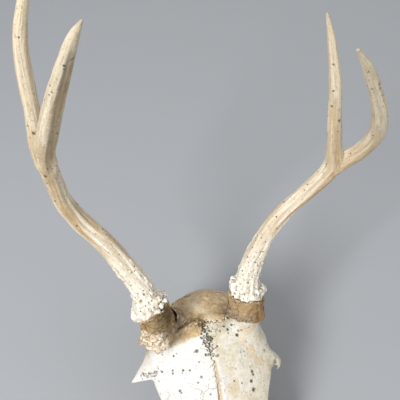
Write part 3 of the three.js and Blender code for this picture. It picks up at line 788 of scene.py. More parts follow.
def soil_on(p):
    """Soil brown: on the dome, behind a wandering edge across the forehead, and down the back."""
    x, y, z = p.T
    dome = step(-0.5, 4.5, behind_edge(p)) * step(60, 84, z) * (0.86 + 0.3 * clouds(p, 8, 3))
    ridge = np.exp(-(((x - 4 + 0.8 * (y - 210)) / 4.5) ** 2)) * step(202, 209, y) * step(233, 224, y)
    low = 0.45 * step(200, 236, y) * step(92, 60, z) * (0.7 + 0.6 * clouds(p, 14, 4))
    snout = 0.28 * step(0.1, 0.7, clouds(p, 17, 5))
    patch = 0.6 * blot(p, 17, 169, 10, 6) * step(-0.35, 0.25, clouds(p, 4.5, 6))
    brow = 0.75 * blot(p, 31, 192, 9, 12) * step(-0.4, 0.5, clouds(p, 6, 5)) * step(80, 90, z)
    aside = x - suture_x(y) - 0.9 - 0.022 * (186 - y)
    groove = 0.8 * np.exp(-((aside / (0.7 + 0.02 * (190 - y))) ** 2)) * step(188, 183, y)
    groove = groove * step(120, 150, y)
    spike = 0.5 * blot(p, -41, 183.5, 9, 2.4) * step(0.2, -0.6, clouds(p, 2.5, 30)) * step(70, 76, z)
    return np.clip(np.maximum.reduce([dome - 0.7 * ridge, low, snout, patch, brow, groove, spike]), 0, 1)


# The line of the olive band: a soil tide line, with the flap's painted shadow along it.
tide_and_flap_shadow_line = profile([-28, 204], [-22, 207.5], [-15, 210], [-8, 212], [-3, 213])


def olive_on(p):
    """A greener, darker band along the front of the brown: partly a soil tide line, partly painted shadow
    under the edge of the right flap; and soil with painted shade on the bone beside the hides.
    """
    x, y, z = p.T
    off = y - tide_and_flap_shadow_line(x) - 0.9 * clouds(p, 3, 7)
    band = np.maximum(np.exp(-((off / 2.3) ** 2)), 0.55 * np.exp(-(((off + 5) / 4) ** 2)))
    band = band * step(90, 98, z) * step(1, -6, x)
    side = 0.6 * blot(p, 15, 218, 4, 7) + 0.8 * blot(p, -20, 216, 5, 10) + 0.35 * blot(p, -9, 214, 4, 4)
    return np.clip((band + side * step(85, 95, z)) * (0.85 + 0.5 * clouds(p, 3, 7)), 0, 1)


# Whiter bone: partly sun-bleached, partly painted light on the skull's right frontal, the side the window
# light falls on.
def bleach_and_key_light_on(p):
    x, y, z = p.T
    front = step(2, -2, behind_edge(p))
    top = step(60, 85, z) * step(3, -3, x - suture_x(y) + 1.5 * clouds(p, 6, 8)) * front
    strip = np.exp(-(((x - suture_x(y) - 4.2) / 1.9) ** 2)) * step(188, 178, y)
    right = 0.35 * step(75, 95, z) * step(-0.4, 0.5, clouds(p, 7, 24)) * front
    return np.clip(top + strip * 0.9 + right, 0, 1)


def speck_on(p):
    """Dirt in the small holes of the forehead and the snags of the broken brow."""
    near = np.full(len(p), 9.0)
    top = np.where(p[:, 2] > 60)[0]
    if len(top):
        for x, y, z, radius in HOLES:
            near[top] = np.minimum(near[top], np.linalg.norm(p[top] - (x, y, z), axis=1) - radius)
    return step(0.6, -0.1, near)


def pricked_on(p):
    """Where the bone is full of fine pores."""
    x, y, z = p.T
    along = np.exp(-(((x - suture_x(y)) / 4.5) ** 2)) * step(183, 190, y) * step(216, 210, y)
    spots = 0.7 * blot(p, 17, 202, 8, 7) + 0.4 * blot(p, 25, 171, 5, 7)
    return np.clip(along + spots, 0, 1) * step(80, 92, z)


def tooth_on(p):
    x, y, z = p.T
    return step(12.5, 9.5, z) * step(82, 84, y) * step(164, 160, y) * step(12, 15, np.abs(x))


def seam_on(p):
    """Close to a suture, on any side of it."""
    x, y, z = (v[:, None, None] for v in p.T)
    wx, wy, wz = wandering(x, y, z)
    nearest = np.abs(wx[:, 0, 0]) + 6 * step(215, 225, p[:, 1])
    for _, inner, outline in BONES + [FLANK, ("back", 0, BACK), ("roof", 0, ROOF)]:
        edge = np.abs(polygon_depth(outline, wy, wz))[:, 0, 0]
        nearest = np.minimum(nearest, np.where(np.abs(p[:, 0]) > inner, edge, 9))
    return nearest


def bone_marks(skin):
    p = skin.points
    hollow = skin.hollowness()
    healed = step(199, 204, p[:, 1]) * step(222, 216, p[:, 1]) * step(84, 92, p[:, 2])
    return {
        "soil": soil_on(p), "olive": olive_on(p), "bleach_and_key_light": bleach_and_key_light_on(p), "tooth": tooth_on(p),
        # hollow: darker in grooves, pits and crevices, partly dirt and partly painted shade; ridge:
        # painted highlight on crests and edges
        "hollow": step(0.02, 0.16, hollow) * (1 - 0.7 * healed), "ridge": step(-0.03, -0.2, hollow),
        "seam": step(1.1, 0.1, seam_on(p)) * (1 - 0.6 * step(188, 184, p[:, 1])) * (1 - 0.9 * healed),
        "speck": speck_on(p), "pricked": pricked_on(p),
    }


def weather(skin):
    p = skin.points
    rough = 0.16 * clouds(p, 8, 9) + 0.12 * clouds(p, 3.2, 10) + 0.07 * clouds(p, 1.5, 11)
    porous = step(0.1, 0.6, clouds(p, 9, 12)) * np.minimum(clouds(p, 1.3, 13), 0.1) * 0.35
    enamel = tooth_on(p)
    skin.swell((rough + porous) * (1 - 0.8 * enamel))


# ---- antlers ----
ANTLERS = {
    "left": {
        "burr": 12.9,
        "burr_at": (27.8, 219, 131.5),
        "burr_faces": (0.3, 0.5, 0.81),
        "beam": [
            (28.3, 221, 134.5, 7.6), (32, 229, 146, 6.9), (40, 238, 161, 5.7), (51, 246, 174, 5.1),
            (67, 253, 187, 5), (77, 256.5, 196, 5.3), (83, 258, 206, 5.6)],
        "rear": [
            (81.2, 259.5, 216, 4.5), (77.6, 264, 241, 3.7), (75.4, 267, 258, 3.2), (70, 272, 283, 2),
            (66, 274, 296, 0.6)],
        "front": [
            (87, 257.5, 209, 5), (94, 256, 218, 4.6), (97, 252, 235, 4.3), (91.6, 247, 257, 3.9),
            (82, 242, 278, 3.1), (72, 237, 297, 2.2), (63.6, 233, 310, 0.7)],
        "spots": [
            (79.4, 260.1, 240.3, 1.1), (74.4, 263.2, 248.9, 0.8), (80.2, 237.9, 286.2, 0.8),
            (33.9, 227.2, 155, 0.7), (28.5, 218.8, 143.6, 0.8), (25.8, 222, 145.1, 0.6)],
    },
    "right": {
        "burr": 14,
        "burr_at": (-36.4, 217, 127.8),
        "burr_faces": (-0.42, 0.57, 0.71),
        "beam": [
            (-36.8, 220.5, 133.5, 7.9), (-40, 228, 141.5, 7.4), (-47, 237, 150, 6.9),
            (-59, 250, 166, 6.6), (-70, 258, 180, 6.2), (-75.6, 262, 196, 5.7),
            (-76.2, 264.5, 213, 5.3), (-75.6, 265, 229, 5.4)],
        "rear": [
            (-76.5, 266.5, 240, 4.4), (-73, 271, 261, 3.9), (-71, 275, 277, 3.8), (-67, 279, 297, 3.2),
            (-61, 283, 312, 2.4), (-51, 288, 333, 0.6)],
        "front": [
            (-73, 264, 240, 5.4), (-67, 261, 255, 5.3), (-59, 257, 274, 4.9), (-52, 252, 290, 4.2),
            (-43, 245, 310, 3.2), (-37, 240, 323, 2.2), (-32, 237, 331.4, 0.7)],
        "spots": [
            (-74.6, 265.2, 252.3, 1.2), (-71.3, 261.9, 257.5, 0.8), (-61.4, 258, 256.6, 1.3),
            (-60.4, 256.1, 261.4, 0.7), (-40.3, 241.7, 311.6, 1.2), (-43.9, 242.4, 307.7, 0.8),
            (-49.6, 246.3, 294.3, 0.9), (-48, 245.5, 297, 0.6), (-77.4, 259.4, 224.2, 1.3),
            (-44.8, 225.7, 148.2, 0.8), (-40.6, 217.9, 141, 0.9), (-34.8, 214.9, 138.1, 0.8)],
    },
}
CHANNEL_SIDE = np.array([0.49, -0.70, -0.39])  # which side of the right front tine is hollowed
CHANNEL_DEPTH, CHANNEL_RADIUS = 1.4, 5.0


def burr_plane(name):
    """The middle of the burr and the way it faces."""
    antler = ANTLERS[name]
    faces = np.array(antler["burr_faces"])
    return np.array(antler["burr_at"]), faces / np.linalg.norm(faces)


def above_burr(name, x, y, z):
    middle, faces = burr_plane(name)
    return (x - middle[0]) * faces[0] + (y - middle[1]) * faces[1] + (z - middle[2]) * faces[2]


def turned_frame(along):
    """Two directions square to a line, to measure round it."""
    across = np.cross(along, (0, 1, 0))
    across /= np.linalg.norm(across)
    return across, np.cross(along, across)


def round_it(angle, across, rise):
    """The direction at this angle round a line."""
    return math.cos(angle) * across + math.sin(angle) * rise


def antler_lines(name):
    """The middle lines of the beam and the two tines, each [x, y, z, radius], the beam first."""
    antler, (_, _, top) = ANTLERS[name], PEDICLES[name]
    root = (*top[:3], antler["beam"][0][3] + 1.5)
    tip = antler["beam"][-1]
    return [[root, *antler["beam"]], [tip, *antler["rear"]], [tip, *antler["front"]]]


# The rows of pearls: height, inset, how many and their size.
BURR_ROWS = ((-1.2, 1.6, 20, 1.8), (1.2, 1.4, 18, 2.0), (3.6, 3.0, 16, 1.8))
BURR_GAPS = 80
BURR_UNDER = 2.2  # how far the burr reaches below its middle
PEARLS = 190


def add_burr(space, name, draw):
    """The ring of bony pearls at the foot, loose and uneven, with gaps between them."""
    middle, along = burr_plane(name)
    across, rise = turned_frame(along)
    burr = ANTLERS[name]["burr"]
    space.add(limb([(*(middle - along * 1.2), burr - 3.6), (*(middle + along * 2.6), burr - 4.8)]), 2.5)
    for height, reach, number, size in BURR_ROWS:
        for k in range(number):
            angle = 2 * math.pi * (k + draw.uniform(-0.4, 0.4)) / number
            front = max(math.sin(angle), 0) ** 2
            out = burr - reach - 2.8 * front + draw.uniform(-1.3, 0.7)
            at = middle + along * (height + draw.uniform(-1.1, 1.1)) + out * round_it(angle, across, rise)
            space.add(ball(at, size * draw.uniform(0.6, 1.25) * draw.uniform(0.75, 1.25, 3)), 1.1)
    for _ in range(BURR_GAPS):
        angle = draw.uniform(0, 2 * math.pi)
        out = burr - draw.uniform(0.2, 2.6)
        at = middle + along * draw.uniform(-3, 6) + out * round_it(angle, across, rise)
        space.cut(ball(at, draw.uniform(0.5, 1.3, 3)), 0.5)


def add_pearls(space, line, draw, number):
    """Small warts on the lower beam, thinning out upwards."""
    ends = np.linspace(0, 1, len(line))
    for _ in range(number):
        share = draw.uniform(0, 1) ** 1.8 * 0.42
        at = np.array([np.interp(share, ends, line[:, k]) for k in range(4)])
        ahead = np.array([np.interp(share + 0.02, ends, line[:, k]) for k in range(3)]) - at[:3]
        across, rise = turned_frame(ahead / np.linalg.norm(ahead))
        angle = draw.uniform(0, 2 * math.pi)
        radius = draw.uniform(0.5, 1.25) * (1.25 - share * 1.6)
        place = at[:3] + (at[3] - 0.25) * round_it(angle, across, rise)
        space.add(ball(place, (radius, radius, radius * 1.3)), 0.8)


def cut_channel(space, line):
    """A long shallow channel down one side of the tine."""
    part = line[int(0.05 * len(line)):int(0.82 * len(line)):6]
    deep = CHANNEL_DEPTH * np.sin(np.linspace(0, math.pi, len(part)))[:, None] ** 0.7
    middles = part[:, :3] + CHANNEL_SIDE * (part[:, 3:] + CHANNEL_RADIUS - deep)
    space.cut(limb([(*at, CHANNEL_RADIUS) for at in middles], 5), 1.2)


def antler_space(name, draw):
    """The antler's field of distances and its middle lines."""
    lines = [path_through(line, 14) for line in antler_lines(name)]
    every = np.vstack(lines)
    space = Space(every[:, :3].min(0) - 9, every[:, :3].max(0) + 8, ANTLER_CELL)
    for n, line in enumerate(antler_lines(name)):
        space.add(limb(line, 8), 1.3 if n else 1)
    add_burr(space, name, draw)
    add_pearls(space, lines[0], draw, PEARLS)
    if name == "right":
        cut_channel(space, lines[2])
    middle, _ = burr_plane(name)
    view, x, y, z = space.window(middle - 25, middle + 25)
    view[...] = soft_meet(view, -BURR_UNDER - above_burr(name, x, y, z), 0.8)
    return space, lines


def along_the_antler(skin, lines):
    """For each point: how far up the antler it is in mm, its angle round it, and the antler's radius."""
    best = np.full(len(skin.points), 1e9)
    far, angle, radius = (np.zeros(len(skin.points)) for _ in range(3))
    start = 0.0
    for n, line in enumerate(lines):
        length = np.concatenate([[0], np.cumsum(np.linalg.norm(np.diff(line[:, :3], axis=0), axis=1))])
        for k in range(len(line) - 1):
            a, b = line[k], line[k + 1]
            d = b[:3] - a[:3]
            close = np.where(np.abs(skin.points - a[:3]).max(1) < 26)[0]
            p = skin.points[close] - a[:3]
            t = np.clip(p @ d / (d @ d), 0, 1)
            q = p - t[:, None] * d
            gap = np.linalg.norm(q, axis=1)
            wins = gap < best[close]
            won = close[wins]
            best[won] = gap[wins]
            across, rise = turned_frame(d / np.linalg.norm(d))
            far[won] = start + length[k] + t[wins] * np.linalg.norm(d)
            angle[won] = np.arctan2(q[wins] @ rise, q[wins] @ across)
            radius[won] = a[3] + (b[3] - a[3]) * t[wins]
        if n == 0:
            start = length[-1]
    return far, angle, radius


def antler_piece(space, lines, name):
    skin = Skin(space.depth, [axis[0] for axis in space.axes], ANTLER_CELL)
    skin.smooth(1, 0.4)
    far, angle, radius = along_the_antler(skin, lines)
    grain = np.stack([np.cos(angle) * 8, np.sin(angle) * 8, far / 9], 1)
    gutters = clouds(grain, 2.6, 14) * 0.5 + clouds(grain, 1.3, 15) * 0.3
    low_down, furrowed = step(110, 10, far), 0.2 + 0.75 * step(190, 40, far)
    bumps = (clouds(skin.points, 2.2, 16) * 0.32 + clouds(skin.points, 1.2, 25) * 0.2) * low_down \
        + clouds(skin.points, 6, 17) * (0.12 + 0.13 * low_down)
    skin.swell(gutters * furrowed * step(2, 4, radius) + bumps)
    hollow = skin.hollowness()
    near = np.min([np.linalg.norm(skin.points - s[:3], axis=1) - 0.7 * s[3]
                   for s in np.array(ANTLERS[name]["spots"])], axis=0)
    stain_and_channel_shade = clouds(grain, 5, 26) * 0.6 + clouds(grain, 2.4, 27) * 0.35
    # On the right antler the floor of the front tine's channel is painted darker: painted shade in the
    # channel.
    if name == "right":
        floor = (lines[2][:, :3] + CHANNEL_SIDE * (lines[2][:, 3:] - CHANNEL_DEPTH))[6:-14]
        shares = np.sin(np.linspace(0, math.pi, len(floor))) ** 0.6
        stain_and_channel_shade = stain_and_channel_shade + 0.9 * np.max([step(4.8, 1.2, np.linalg.norm(skin.points - at, axis=1)) * share
                                      for at, share in zip(floor, shares)], axis=0)
    made = skin.piece(f"{name}_antler", {
        # hollow: painted shade with dirt in the grooves; ridge: painted highlight on the crests
        "hollow": step(0.01, 0.13, hollow), "ridge": step(-0.02, -0.14, hollow) * step(1.5, 3.5, radius),
        "far_up": far / 250, "along": grain / 10, "speck": step(0.5, -0.2, near),
        "stain_and_channel_shade": step(0.0, 0.8, stain_and_channel_shade),
    })
    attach(made, "root")
    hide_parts(f"antler_beam_{name}", f"antler_rear_tine_{name}", f"antler_front_tine_{name}")
    return made


# ---- dried hide round the pedicles ----
def cuff_space(name):
    _, low, top = PEDICLES[name]
    low, top = np.array(low[:3]), np.array(top[:3])
    space = Space(np.minimum(low, top) - (24, 22, 12), np.maximum(low, top) + (24, 22, 18), HIDE_CELL)
    grid = np.stack(np.meshgrid(*space.axes, indexing="ij"), -1).reshape(-1, 3)
    return space, grid, low, top


# How each cuff hangs, by its angle round the pedicle in degrees, with 90 at the front. The left antler's
# cuff has its outer side at 180, and the right one's at 0. An edge is a share of the pedicle's height.
CUFF_EDGES = {
    "left": profile([0, 0.46], [30, 0.58], [70, 0.66], [120, 0.52], [150, 0.47], [180, 0.4], [270, 0.34],
                    [360, 0.46]),
    "right": profile([0, 0.34], [35, 0.31], [70, 0.3], [100, 0.36], [118, 0.52], [135, 0.6], [160, 0.6],
                     [190, 0.53], [230, 0.52], [270, 0.36], [360, 0.34]),
}
CUFF_REACH = {
    "left": profile([0.3, 13.2], [0.5, 12.9], [0.68, 12.5], [0.85, 11.9], [1, 11.6], [1.3, 11.4],
                    [1.7, 11]),
    "right": profile([0.3, 12.6], [0.5, 12.4], [0.8, 12.3], [1, 12.4], [1.3, 12.4], [1.7, 12]),
}
# The right cuff stands out towards the dome in a stiff flap.
FLAP_OUT = profile(
    [0, 0.5], [70, 0.5], [112, 0], [140, 0.4], [165, 3.5], [190, 7.6], [212, 8], [238, 5], [270, 1.5],
    [360, 0.5])
# The slit between the flap and the pedicle runs round it: how far from its middle, half its width, the
# degrees it faces and reaches to each side, its floor as a share of the pedicle, and mm for each degree.
SLIT_AWAY, SLIT_HALF, SLIT_FACES, SLIT_REACH, SLIT_FLOOR, SLIT_DEGREE = 13.8, 1.0, 200, 30, 0.7, 0.24
OUTER_NARROWING = 2.6  # how much closer the right cuff lies on its outer side
CUFF_WALL = 1.7
CUFF_LIP = 2.0  # how far the hide climbs up round the foot of the antler
CUFF_GAP, ANTLER_GAP = 0.35, 0.55  # clear space to the bone and to the antler


def hide_piece(skull, antler, name, draw):
    """A wrinkled cuff that hangs from the burr, standing off the bone at its ragged lower edge."""
    space, grid, low, top = cuff_space(name)
    along = top - low
    height = np.linalg.norm(along)
    along /= height
    across, rise = turned_frame(along)
    rel = grid - low
    share = rel @ along / height
    flat = rel - np.outer(rel @ along, along)
    angle = np.arctan2(flat @ rise, flat @ across)
    away = np.linalg.norm(flat, axis=1)
    ring = np.stack([np.cos(angle), np.sin(angle), 0 * angle], 1)
    folds = clouds(np.c_[ring[:, :2] * 9, share * 12], 3.2, 18)
    creases = clouds(np.c_[ring[:, :2] * 12, share * 34], 2.4, 19)
    degrees = np.degrees(angle) % 360
    reach = CUFF_REACH[name](share)
    if name == "right":
        reach = reach + FLAP_OUT(degrees) * step(1.1, 0.5, share) \
            - OUTER_NARROWING * np.maximum(np.cos(angle), 0)
    edge = CUFF_EDGES[name](degrees) + 0.04 * clouds(ring * 9, 2.6, 20)
    outer = away - reach - 0.8 * folds - 0.5 * creases
    under = away - (reach - CUFF_WALL - 1.0 * step(edge + 0.2, edge + 0.02, share))
    burr_side = above_burr(name, *grid.T) + BURR_UNDER - CUFF_LIP + 0.8 * creases
    cuff = np.maximum.reduce([outer, (edge - share) * height, burr_side])
    if name == "right":
        slit = np.maximum.reduce([
            np.abs(away - SLIT_AWAY - folds) - SLIT_HALF,
            (np.abs(degrees - SLIT_FACES) - SLIT_REACH) * SLIT_DEGREE,
            (SLIT_FLOOR - share) * height])
        cuff = np.maximum(cuff, -slit)
    cuff = np.maximum(cuff, -np.where(share < edge + 0.14, under, 9))
    space.depth = cuff.reshape(space.depth.shape).astype(np.float32)
    if name == "right":
        add_scabs(space, draw)
    solid = np.minimum(skull.at(grid) - CUFF_GAP, antler.at(grid) - ANTLER_GAP)
    space.depth = soft_meet(space.depth, -solid.reshape(space.depth.shape), 0.4).astype(np.float32)
    skin = Skin(space.depth, [axis[0] for axis in space.axes], HIDE_CELL)
    skin.smooth(1, 0.4)
    p = skin.points
    crust = scab_on(p) if name == "right" else np.zeros(len(p))
    skin.swell(0.25 * clouds(p, 1.6, 22) + 0.25 * clouds(p, 3.5, 23)
               + crust * (0.9 * clouds(p, 3.2, 28) + 0.5 * clouds(p, 1.5, 29)))
    hollow = skin.hollowness()
    rel = (p - low) @ along / height
    rust = blot(p, 35.5, 204, 5, 6) if name == "left" else 0.7 * blot(p, -41, 204, 4, 4)
    # Painted shade on the hide under the right burr.
    painted_shelf_shade = np.zeros(len(p)) if name == "left" else blot(p, -26, 209, 7, 9) * step(108, 116, p[:, 2])
    made = skin.piece(f"{name}_dried_hide", {
        # hollow: painted shade with dirt in the creases; ridge: painted highlight on the folds
        "hollow": step(0.0, 0.14, hollow), "ridge": step(-0.01, -0.14, hollow),
        "up_cuff": np.clip(rel, 0, 1.4), "scab": crust, "rust": rust, "painted_shelf_shade": painted_shelf_shade,
    })
    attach(made, "root")
    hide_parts(f"dried_hide_{name}")
    return made


SCABS = [
    (-40.4, 202.4, 116, 4.2), (-38, 198.8, 111, 4.4), (-33.5, 197, 111, 4.8), (-35.4, 198.6, 117, 4.8),
    (-30, 197.2, 113.5, 3.8), (-38.5, 202, 121, 3.6), (-31.5, 199.6, 119.5, 3.2),
    (-34.5, 195.8, 106.5, 3.4), (-29, 196.6, 108.6, 2.8),
]
SPIKES = [[(-40.5, 203.5, 120.5, 1.8), (-43.8, 200.8, 118.4, 1.2), (-46.7, 198.6, 115.3, 0.35)],
          [(-40.5, 202, 117, 1.5), (-43.2, 200, 114.5, 1.0), (-45.2, 198, 114.2, 0.35)]]


def scab_on(p):
    near = np.min([np.linalg.norm(p - s[:3], axis=1) - s[3] for s in np.array(SCABS)], axis=0)
    return step(2.0, 0.2, near)


def add_scabs(space, draw):
    """Crusted lumps and splinters at the front of the right cuff."""
    for x, y, z, radius in SCABS:
        space.add(ball((x, y, z), radius * draw.uniform(0.7, 1.15, 3)), 1.0)
    for spike in SPIKES:
        space.add(limb(spike), 0.8)


# ---- finishes ----
def colour(code):
    """The colour written as six hex digits."""
    parts = [int(code[i:i + 2], 16) / 255 for i in (0, 2, 4)]
    return (*(c / 12.92 if c <= 0.04045 else ((c + 0.055) / 1.055) ** 2.4 for c in parts), 1)


class Finish:
    """A short way to write down nodes, in a material or in a group."""

    def __init__(self, tree):
        self.tree = tree

    def node(self, kind, inputs=(), **settings):
        made = self.tree.nodes.new(kind)
        for key, value in settings.items():
            setattr(made, key, value)
        for key, value in dict(inputs).items():
            self.feed(made.inputs[key], value)
        return made

    def feed(self, socket, value):
        if isinstance(value, bpy.types.NodeSocket):
            self.tree.links.new(value, socket)
        else:
            socket.default_value = value

    def sum(self, how, a, b=0.0, c=0.0, clamp=False):
        made = self.node("ShaderNodeMath", operation=how, use_clamp=clamp)
        for socket, value in zip(made.inputs, (a, b, c)):
            self.feed(socket, value)
        return made.outputs[0]

    def mix(self, share, a, b, how="MIX"):
        made = self.node("ShaderNodeMix", data_type="RGBA", blend_type=how, clamp_factor=True)
        colour_a, colour_b, colour_out = 6, 7, 2  # the sockets that a colour mix uses
        self.feed(made.inputs["Factor"], share)
        self.feed(made.inputs[colour_a], a)
        self.feed(made.inputs[colour_b], b)
        return made.outputs[colour_out]

    def times(self, a, b):
        return self.sum("MULTIPLY", a, b)

    def line(self, a, slope, start):
        return self.sum("MULTIPLY_ADD", a, slope, start)

    def coats(self, base, *coats):
        """Lays coats over a base, each of them its share and its colour."""
        for share, coat in coats:
            base = self.mix(share, base, colour(coat) if isinstance(coat, str) else coat)
        return base

    def between(self, value, low, high, start=0.0, end=1.0):
        made = self.node("ShaderNodeMapRange", {"Value": value, "From Min": low, "From Max": high,
                                                "To Min": start, "To Max": end},
                         interpolation_type="SMOOTHSTEP")
        return made.outputs[0]

    def noise(self, where, scale, detail=2.0, rough=0.5):
        made = self.node("ShaderNodeTexNoise", {"Vector": where, "Scale": scale, "Detail": detail,
                                                "Roughness": rough})
        return made.outputs["Fac"]

    def mark(self, name, vector=False):
        made = self.node("ShaderNodeAttribute", attribute_name=name)
        return made.outputs["Vector" if vector else "Fac"]

    def place(self):
        return self.node("ShaderNodeTexCoord").outputs["Object"]


def group(name, inputs, outputs):
    """A shared effect: its tree, its input sockets and its output node."""
    tree = bpy.data.node_groups.new(name, "ShaderNodeTree")
    for label, value in inputs.items():
        kind = "NodeSocketFloat" if isinstance(value, float) else "NodeSocketVector"
        socket = tree.interface.new_socket(name=label, in_out="INPUT", socket_type=kind)
        if isinstance(value, float):
            socket.default_value = value
    for label in outputs:
        tree.interface.new_socket(name=label, in_out="OUTPUT", socket_type="NodeSocketFloat")
    given, out = tree.nodes.new("NodeGroupInput"), tree.nodes.new("NodeGroupOutput")
    return Finish(tree), given.outputs, out.inputs


def mottling_group():
    """Uneven ageing: broad clouds, small blotches and fine specks, each from 0 to 1."""
    f, given, out = group("aged mottling", {"Place": None, "Scale": 60.0},
                          ["Broad", "Blotches", "Specks"])
    for label, finer, detail, rough, low, high in (("Broad", 1.0, 3, 0.55, 0.35, 0.65),
                                                   ("Blotches", 4.3, 3, 0.6, 0.4, 0.64),
                                                   ("Specks", 13.0, 2, 0.6, 0.58, 0.7)):
        scale = given["Scale"] if finer == 1.0 else f.times(given["Scale"], finer)
        f.feed(out[label], f.between(f.noise(given["Place"], scale, detail, rough), low, high))
    return f.tree


def pore_group():
    """Small round holes, some cells left whole, with the pit's depth."""
    f, given, out = group("bone pores", {"Place": None, "Scale": 500.0, "Share": 0.3}, ["Pits", "Depth"])
    cell = f.node("ShaderNodeTexVoronoi", {"Vector": given["Place"], "Scale": given["Scale"]})
    chosen = f.node("ShaderNodeSeparateColor", {"Color": cell.outputs["Color"]}).outputs[0]
    pit = f.times(f.between(cell.outputs["Distance"], 0.34, 0.16),
                  f.sum("LESS_THAN", chosen, given["Share"]))
    f.feed(out["Pits"], pit)
    f.feed(out["Depth"], f.times(pit, -1.0))
    return f.tree


def crack_group():
    """Fine drying cracks that come and go."""
    f, given, out = group("drying cracks", {"Place": None, "Scale": 70.0, "Reach": 0.5}, ["Lines"])
    bent = f.node("ShaderNodeTexNoise", {"Vector": given["Place"], "Scale": 180.0, "Detail": 2.0})
    shifted = f.node("ShaderNodeVectorMath", {0: bent.outputs["Color"], "Scale": 0.006},
                     operation="SCALE")
    moved = f.node("ShaderNodeVectorMath", {0: given["Place"], 1: shifted.outputs[0]}, operation="ADD")
    cell = f.node("ShaderNodeTexVoronoi", {"Vector": moved.outputs[0], "Scale": given["Scale"]},
                  feature="DISTANCE_TO_EDGE")
    line = f.between(cell.outputs["Distance"], 0.03, 0.008)
    patchy = f.noise(given["Place"], 55.0, 1)
    f.feed(out["Lines"], f.times(line, f.between(patchy, given["Reach"],
                                                 f.sum("ADD", given["Reach"], 0.08))))
    return f.tree


def material(name):
    made = bpy.data.materials.new(name)
    made.use_nodes = True
    f = Finish(made.node_tree)
    surface = made.node_tree.nodes["Principled BSDF"]
    return made, f, surface


def use(f, tree, **values):
    made = f.node("ShaderNodeGroup", node_tree=tree)
    for key, value in values.items():
        f.feed(made.inputs[key], value)
    return made.outputs


def bump(f, surface, height, depth):
    made = f.node("ShaderNodeBump", {"Height": height, "Distance": depth, "Strength": 1.0})
    f.feed(surface.inputs["Normal"], made.outputs["Normal"])


def bone_material(name, mottling, pores, cracks, pale, deep):
    made, f, surface = material(name)
    place = f.place()
    broad, blotches, specks = use(f, mottling, Place=place, Scale=55.0)[:3]
    soil, pricked, hollow = f.mark("soil"), f.mark("pricked"), f.mark("hollow")
    pit = use(f, pores, Place=place, Scale=420.0, Share=f.line(pricked, 0.25, 0.1))
    tiny = use(f, pores, Place=place, Scale=800.0, Share=f.line(pricked, 0.45, 0.2))
    crack = use(f, cracks, Place=place, Scale=130.0, Reach=0.6)[0]
    earth = f.coats(f.mix(blotches, colour("c4a478"), colour("ead2a8")),
                    (f.times(broad, 0.4), "b89a78"), (f.times(specks, 0.6), "75593c"))
    wet = f.sum("MULTIPLY_ADD", blotches, 0.2, f.times(soil, 0.95), clamp=True)
    olive_soil_and_shadow = f.mix(blotches, colour("4d3d1f"), colour("75633a"))
    dark = f.sum("MAXIMUM", pit["Pits"], f.times(tiny["Pits"], 0.6))
    often = f.sum("MAXIMUM", f.between(broad, 0.35, 0.75, 0.1, 0.8), pricked)
    # The teeth are darker in their hollows: partly dirt, partly painted shade.
    enamel = f.mix(f.between(hollow, 0.1, 0.7), colour("eee6cf"), colour("6b5034"))
    f.feed(surface.inputs["Base Color"], f.coats(
        colour(pale),
        (f.times(broad, 0.55), deep),
        (f.times(blotches, 0.4), "b9a884"),
        # Bleached bone, with painted light on the lit right frontal.
        (f.times(f.mark("bleach_and_key_light"), 0.85), "e6e5e1"),
        (f.times(wet, f.between(soil, 0.02, 0.35)), earth),
        # Painted shadow with soil: the olive band under the flap and beside the hides.
        (f.times(f.mark("olive"), 0.92), olive_soil_and_shadow),
        # Painted shade with dirt: darker in grooves, pits and crevices.
        (f.times(hollow, 0.5), "9a8055"),
        # Painted highlight on ridges and crests.
        (f.times(f.mark("ridge"), f.line(soil, -0.3, 0.4)), "fbf8f0"),
        (f.times(specks, 0.25), "8c7450"),
        (f.times(f.times(dark, often), 0.8), "4b3a26"),
        (f.times(crack, 0.15), "6b583c"),
        (f.times(f.mark("seam"), f.line(blotches, 0.4, 0.1)), "7a6242"),
        (f.times(f.mark("speck"), 0.85), "3f3121"),
        (f.mark("tooth"), enamel)))
    dull = f.line(blotches, 0.14, 0.62)
    f.feed(surface.inputs["Roughness"], f.line(f.mark("tooth"), -0.3, dull))
    surface.inputs["Specular IOR Level"].default_value = 0.35
    grain = f.noise(place, 900.0, 4, 0.65)
    height = f.line(pit["Depth"], 1.6, f.line(tiny["Depth"], 0.6, grain))
    bump(f, surface, f.line(crack, -1.0, height), 0.0004)
    return made


